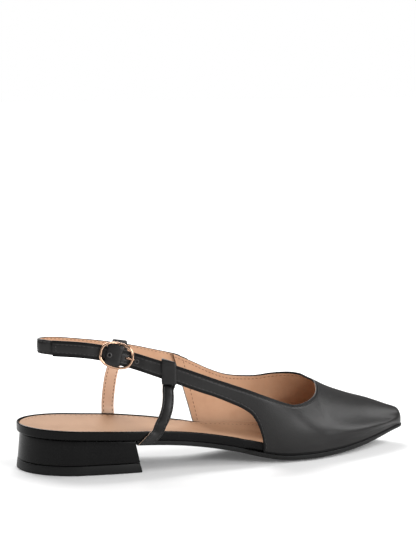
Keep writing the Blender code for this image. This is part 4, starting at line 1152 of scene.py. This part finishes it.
def makeStay(name, side, rows, along, lean, broad, rawEdge):
    centre, run, cross, out, strapHalf, width = strapHold(side, along)
    clear = strapHalf + gap + 0.5 * stay["thickness"]
    up = (cross * cross.z + run * run.z).normalized()
    high = 0.5 * width / up.dot(cross) + stay["loopRoom"] * gap + 0.5 * stay["thickness"]
    level = (run * cross.z - cross * run.z).normalized()
    points = []
    seat = -stay["seat"] * gap - 0.5 * stay["thickness"]
    for back, drop in stay["foot"]:
        foot = edgePoint(rows[0][0] - back * lean, side, seat)
        points.append(Vector((foot.x, foot.y, rimTop(foot.x, foot.y) - drop * footbed["thickness"])))
    wall = edgePoint(rows[0][0], side, seat) - edgePoint(rows[0][0], side)
    footFace = Vector((wall.x, wall.y, 0.0)).normalized()
    for share, aside, height in rows:
        points.append(Vector((share * sole["length"], aside * sole["ballWidth"], height * strap["height"])))
    points.append(centre - out * clear - up * (high + 0.5 * stay["tail"]))
    rise, steps = len(points), stay["steps"]
    corner = high - clear * stay["loopCorner"]
    points += [centre - out * clear, centre - out * clear + up * corner, centre + up * high,
               centre + out * clear + up * corner, centre + out * clear,
               centre + out * clear - up * (high + stay["tail"])]
    smooth = [Vector(point) for point in throughPoints(points[:rise + 1], steps)]
    smooth += [Vector(point) for point in throughPoints(points[rise:], steps)[1:]]
    faces = []
    for index in range(len(smooth)):
        way = smooth[min(index + 1, len(smooth) - 1)] - smooth[max(index - 1, 0)]
        faces.append(run.cross(way) * (1.0 if side == outerSide else -1.0))
    footEnd = len(stay["foot"]) * steps
    for index in range(footEnd):
        faces[index] = footFace.lerp(faces[index].normalized(), ease(footEnd - 2 * steps, footEnd, index))
    spread = stay["loopWidth"] / broad - 1.0
    turn = (rise - 1) * steps  # first point of the loop
    widenFrom, widenTo = turn + stay["widen"][0], turn + stay["widen"][1]
    widths = [1.0 + spread * ease(widenFrom, widenTo, index) for index in range(len(smooth))]
    levelFrom, levelTo = turn + stay["levelFrom"] * steps, turn + stay["levelTo"] * steps
    slants = []
    for index in range(len(smooth)):  # the loop's width lies level, less so near the stay
        share = stay["loopLevel"] * ease(levelFrom, levelTo, index)
        slants.append(run.lerp(level, share).normalized() if index > widenTo else None)
    wallRun = Vector((-footFace.y, footFace.x, 0.0))
    for index in range(footEnd):  # the foot is cut level along the sole
        way = (smooth[index + 1] - smooth[max(index - 1, 0)]).normalized()
        square = way.cross(faces[index]).normalized()
        flat = wallRun if wallRun.dot(square) > 0 else -wallRun
        slants[index] = flat.lerp(square, ease(0, footEnd, index)).normalized()
        widths[index] = 1.0 / way.cross(slants[index]).length
    # the stay's lining takes the lighter painted light copy of the tan lining
    lines = ribbon(name + "_leather", smooth, faces, broad, stay["thickness"], [name], widths, slants,
                   turn - stay["liningStop"], rawEdge, stayLitLook)
    cut, loop = slice(turn - stay["stitchStop"]), slice(turn + stay["stitchAgain"] * steps, None)
    outer = [(p[part], n[part]) for part in (cut, loop) for p, n in lines["outer"]]
    stitches(name + "_stitches", blackThreadSheen, outer)
    stitches(name + "_lining_stitches", tanThread, [(p[cut], n[cut]) for p, n in lines["inner"]])


makeSling()
for row in stays:
    makeStay(*row)
print("straps made")


# Buckle

def wire(name, nodes, path, axes, closed, sides=18):
    points = []
    for centre, (first, second) in zip(path, axes):
        for step in range(sides):
            turn = 2 * math.pi * step / sides
            points.append(centre + first * math.cos(turn) + second * math.sin(turn))
    faces = tubeFaces(len(path), sides, closed=closed) + ([] if closed else tubeEnds(len(path), sides))
    addPiece(name, points, faces, [goldLook], nodes, sharp=60.0)


def powered(value, power):
    return math.copysign(abs(value) ** power, value)


def makeRing(centre, run, up, out, barDepth, lift, halfLong, steps=128):
    halfHigh = 0.5 * (buckle["height"] - buckle["wire"])
    path, axes = [], []
    for step in range(steps):
        turn = 2 * math.pi * step / steps
        bow = lift - (lift + barDepth) * math.sin(turn) ** buckle["bend"]
        wide = powered(math.cos(turn), buckle["square"])
        tall = powered(math.sin(turn), buckle["square"])
        path.append(centre + run * halfLong * wide + up * halfHigh * tall + out * bow)
        radial = (run * math.cos(turn) / halfLong + up * math.sin(turn) / halfHigh).normalized()
        axes.append((radial * buckle["wireSide"] * buckle["wire"], out * 0.5 * buckle["depth"]))
    wire("buckle_ring", ["buckle_frame"], path, axes, True)
    ends = [centre - out * barDepth + up * halfHigh * share for share in (-1.0, 0.0, 1.0)]
    wire("buckle_bar", [], ends, [(run * 0.5 * buckle["bar"], out * 0.5 * buckle["bar"])] * 3, False)
    return halfHigh


fold = {
    "high": 0.90, "halfWide": 0.0052, "halfDeep": 0.0019, "sink": 0.0011, "aside": 0.0017, "endRound": 10,
    "rows": 13, "around": 24, "wideEnd": 0.85, "deepEnd": 0.6, "wideSquare": 0.5, "deepSquare": 0.7,
}


def makeFold(centre, run, up, out, halfHigh):
    # the strap's end folded over the bar
    points = []
    for level in np.linspace(-1.0, 1.0, fold["rows"]):
        full = (1.0 - abs(level) ** fold["endRound"]) ** 0.5
        middlePoint = centre + up * level * fold["high"] * halfHigh - out * fold["sink"] - run * fold["aside"]
        halfWide = fold["halfWide"] * (fold["wideEnd"] + (1.0 - fold["wideEnd"]) * full)
        halfDeep = fold["halfDeep"] * (fold["deepEnd"] + (1.0 - fold["deepEnd"]) * full)
        for step in range(fold["around"]):
            angle = 2 * math.pi * step / fold["around"]
            wide = powered(math.cos(angle), fold["wideSquare"]) * halfWide
            deep = powered(math.sin(angle), fold["deepSquare"]) * halfDeep
            points.append(middlePoint + run * wide + out * deep)
    faces = tubeFaces(fold["rows"], fold["around"]) + tubeEnds(fold["rows"], fold["around"])
    addPiece("bar_fold", points, faces, [upperLook], sharp=60.0)


def makeProng(centre, run, up, out, barDepth, lift, halfLong):
    half = 0.5 * buckle["prong"]
    hole = buckle["prongRun"] * halfLong
    under = upper["wall"] + gap + half
    dip = strapDip(buckle["prongRun"])
    resting = lift + 0.5 * buckle["depth"] + gap + half
    mid, midDip = buckle["prongMid"] * hole, strapDip(buckle["prongMid"] * buckle["prongRun"])
    points = [
        centre + run * (0.5 * buckle["bar"] + gap + half) - out * barDepth,
        centre + run * mid - out * (midDip + under),
        centre + run * (hole - buckle["prongLead"] * half) - out * (dip + under),
        centre + run * hole - out * (dip + 0.5 * upper["wall"]),
        centre + run * (hole + half) - out * (dip - buckle["prongLift"] * half),
        centre + run * halfLong + out * resting,
        centre + run * (halfLong + buckle["prongReach"] * buckle["wire"]) + out * (resting - 0.5 * half),
    ]
    path = [Vector(point) for point in throughPoints(points, buckle["prongSteps"])]
    last, axes = len(path) - 1, []
    for index in range(len(path)):
        line = path[min(index + 1, last)] - path[max(index - 1, 0)]
        size = half * (1.0 - buckle["prongTaper"] * ease(last - 4, last, index))
        axes.append((up * size, line.cross(up).normalized() * size))
    wire("buckle_prong_gold", ["buckle_prong"], path, axes, False)


def makeBuckle():
    centre, run, up, out = strapFrame(buckle["along"], 0.0)
    centre = centre + up * buckle["lift"]
    barDepth = upper["wall"] + gap + 0.5 * buckle["bar"]
    lift = gap * 3 + 0.5 * buckle["depth"] - buckle["trough"] - buckle["hump"]
    halfLong = 0.5 * (buckle["length"] - buckle["wire"])
    halfHigh = makeRing(centre, run, up, out, barDepth, lift, halfLong)
    makeFold(centre, run, up, out, halfHigh)
    makeProng(centre, run, up, out, barDepth, lift, halfLong)


holes = {
    "spots": ((0.2137, 0.0021), (0.2507, 0.00012), (0.2773, 0.00012)),  # along, how far it stands out
    "radius": 0.0009, "ring": 0.00035, "steps": 28,
    "rim": ((1.0, 0.0, -0.0001), (1.0, 0.3, 0.00018), (1.0, 1.0, 0.0002), (1.0, 2.2, -0.00015)),
}


def makeHoles():
    # spare holes of the strap, each with its pressed rim coloured light grey as painted highlight and a dark
    # floor as painted shade
    points, faces, marks = [], [], []
    steps = holes["steps"]
    rim = [(1e-5, -0.0001)]
    rim += [(share * holes["radius"] + ring * holes["ring"], lift) for share, ring, lift in holes["rim"]]
    for along, stand in holes["spots"]:
        centre, run, up, out = strapFrame(along, -stand)
        faces += tubeFaces(len(rim), steps, len(points))
        # the floor of each hole takes the dark painted shade look, its rim the light painted highlight
        marks += [1] * steps + [0] * steps * (len(rim) - 2)
        for radius, lift in rim:
            for step in range(steps):
                turn = 2 * math.pi * step / steps
                points.append(centre + (run * math.cos(turn) + up * math.sin(turn)) * radius + out * lift)
    addPiece("strap_holes", points, faces, [holeRimHighlightLook, paintedShadeLook], marks=marks)


makeBuckle()
makeHoles()
print("buckle made")


# Camera, floor and light

view = {
    "turn": 16.0, "rise": 12.5, "away": 1.150, "target": (0.131, 0.008, 0.020), "focalPixels": 1754.4,
    "frame": (416, 555), "targetAt": (215.7, 422.7), "sensor": 36.0,
}
studio = {
    "ambient": 0.30, "backdrop": 1.0, "whiteFrom": 0.20, "whiteTo": 0.62, "paperGlow": 0.08,
    "paper": (0.90, 0.90, 0.90, 1.0), "white": (1.0, 1.0, 1.0, 1.0), "halfFloor": 6, "aim": (0.0, 0.0, 0.02),
    "lights": (
        # name, place, size, power
        ("top_box", (-0.10, 0.88, 0.78), (1.1, 0.6), 17.0),
        ("toe_box", (0.80, -0.06, 0.70), (0.5, 0.5), 4.6),
        ("front_box", (0.50, -0.82, 0.46), (0.7, 0.5), 6.5),
    ),
}


def makeCamera():
    turn, rise = math.radians(view["turn"]), math.radians(view["rise"])
    back = Vector((-math.sin(turn) * math.cos(rise), -math.cos(turn) * math.cos(rise), math.sin(rise)))
    width, height = view["frame"]
    eye = bpy.data.cameras.new("photo_view")
    eye.sensor_width = view["sensor"]
    eye.lens = view["focalPixels"] * view["sensor"] / height
    eye.shift_x = (0.5 * width - view["targetAt"][0]) / height
    eye.shift_y = (view["targetAt"][1] - 0.5 * height) / height
    eye.clip_end = 50.0
    camera = linked("photo_view", eye)
    camera.location = Vector(view["target"]) + shoeOrigin + back * view["away"]
    camera.rotation_euler = (-back).to_track_quat("-Z", "Y").to_euler()
    bpy.context.scene.camera = camera


def makeFloor():
    look, nodes, links, shader, place = startLook("pale_floor", 0.9, 0.1)
    setInputs(shader, {"Base Color": studio["paper"], "Emission Color": studio["white"]})
    reach = nodes.new("ShaderNodeVectorMath")  # the paper turns plain white away from the shoe
    reach.operation = "LENGTH"
    links.new(place.outputs["Object"], reach.inputs[0])
    white = nodes.new("ShaderNodeMapRange")
    setInputs(white, {"From Min": studio["whiteFrom"], "From Max": studio["whiteTo"],
                      "To Min": studio["paperGlow"]})
    links.new(reach.outputs["Value"], white.inputs["Value"])
    links.new(white.outputs["Result"], shader.inputs["Emission Strength"])
    mesh = bpy.data.meshes.new("floor")
    far = studio["halfFloor"]
    mesh.from_pydata([(-far, -far, 0), (far, -far, 0), (far, far, 0), (-far, far, 0)], [], [(0, 1, 2, 3)])
    mesh.materials.append(look)
    linked("floor", mesh)


def makeWorld():
    scene = bpy.context.scene
    world = scene.world or bpy.data.worlds.new("studio")
    scene.world = world
    scene.view_settings.view_transform = "Standard"
    world.use_nodes = True
    nodes, links = world.node_tree.nodes, world.node_tree.links
    nodes["Background"].inputs["Color"].default_value = studio["white"]
    seen = nodes.new("ShaderNodeLightPath")  # white behind the shoe, dimmer as a light
    strength = nodes.new("ShaderNodeMapRange")
    setInputs(strength, {"To Min": studio["ambient"], "To Max": studio["backdrop"]})
    links.new(seen.outputs["Is Camera Ray"], strength.inputs["Value"])
    links.new(strength.outputs["Result"], nodes["Background"].inputs["Strength"])


def softLight(name, spot, size, power):
    data = bpy.data.lights.new(name, "AREA")
    data.shape = "RECTANGLE"
    data.size, data.size_y = size
    data.energy = power
    light = linked(name, data)
    light.location = Vector(spot)
    light.rotation_euler = (Vector(studio["aim"]) - Vector(spot)).to_track_quat("-Z", "Y").to_euler()


makeCamera()
makeFloor()
makeWorld()
for row in studio["lights"]:
    softLight(*row)
print("studio made")
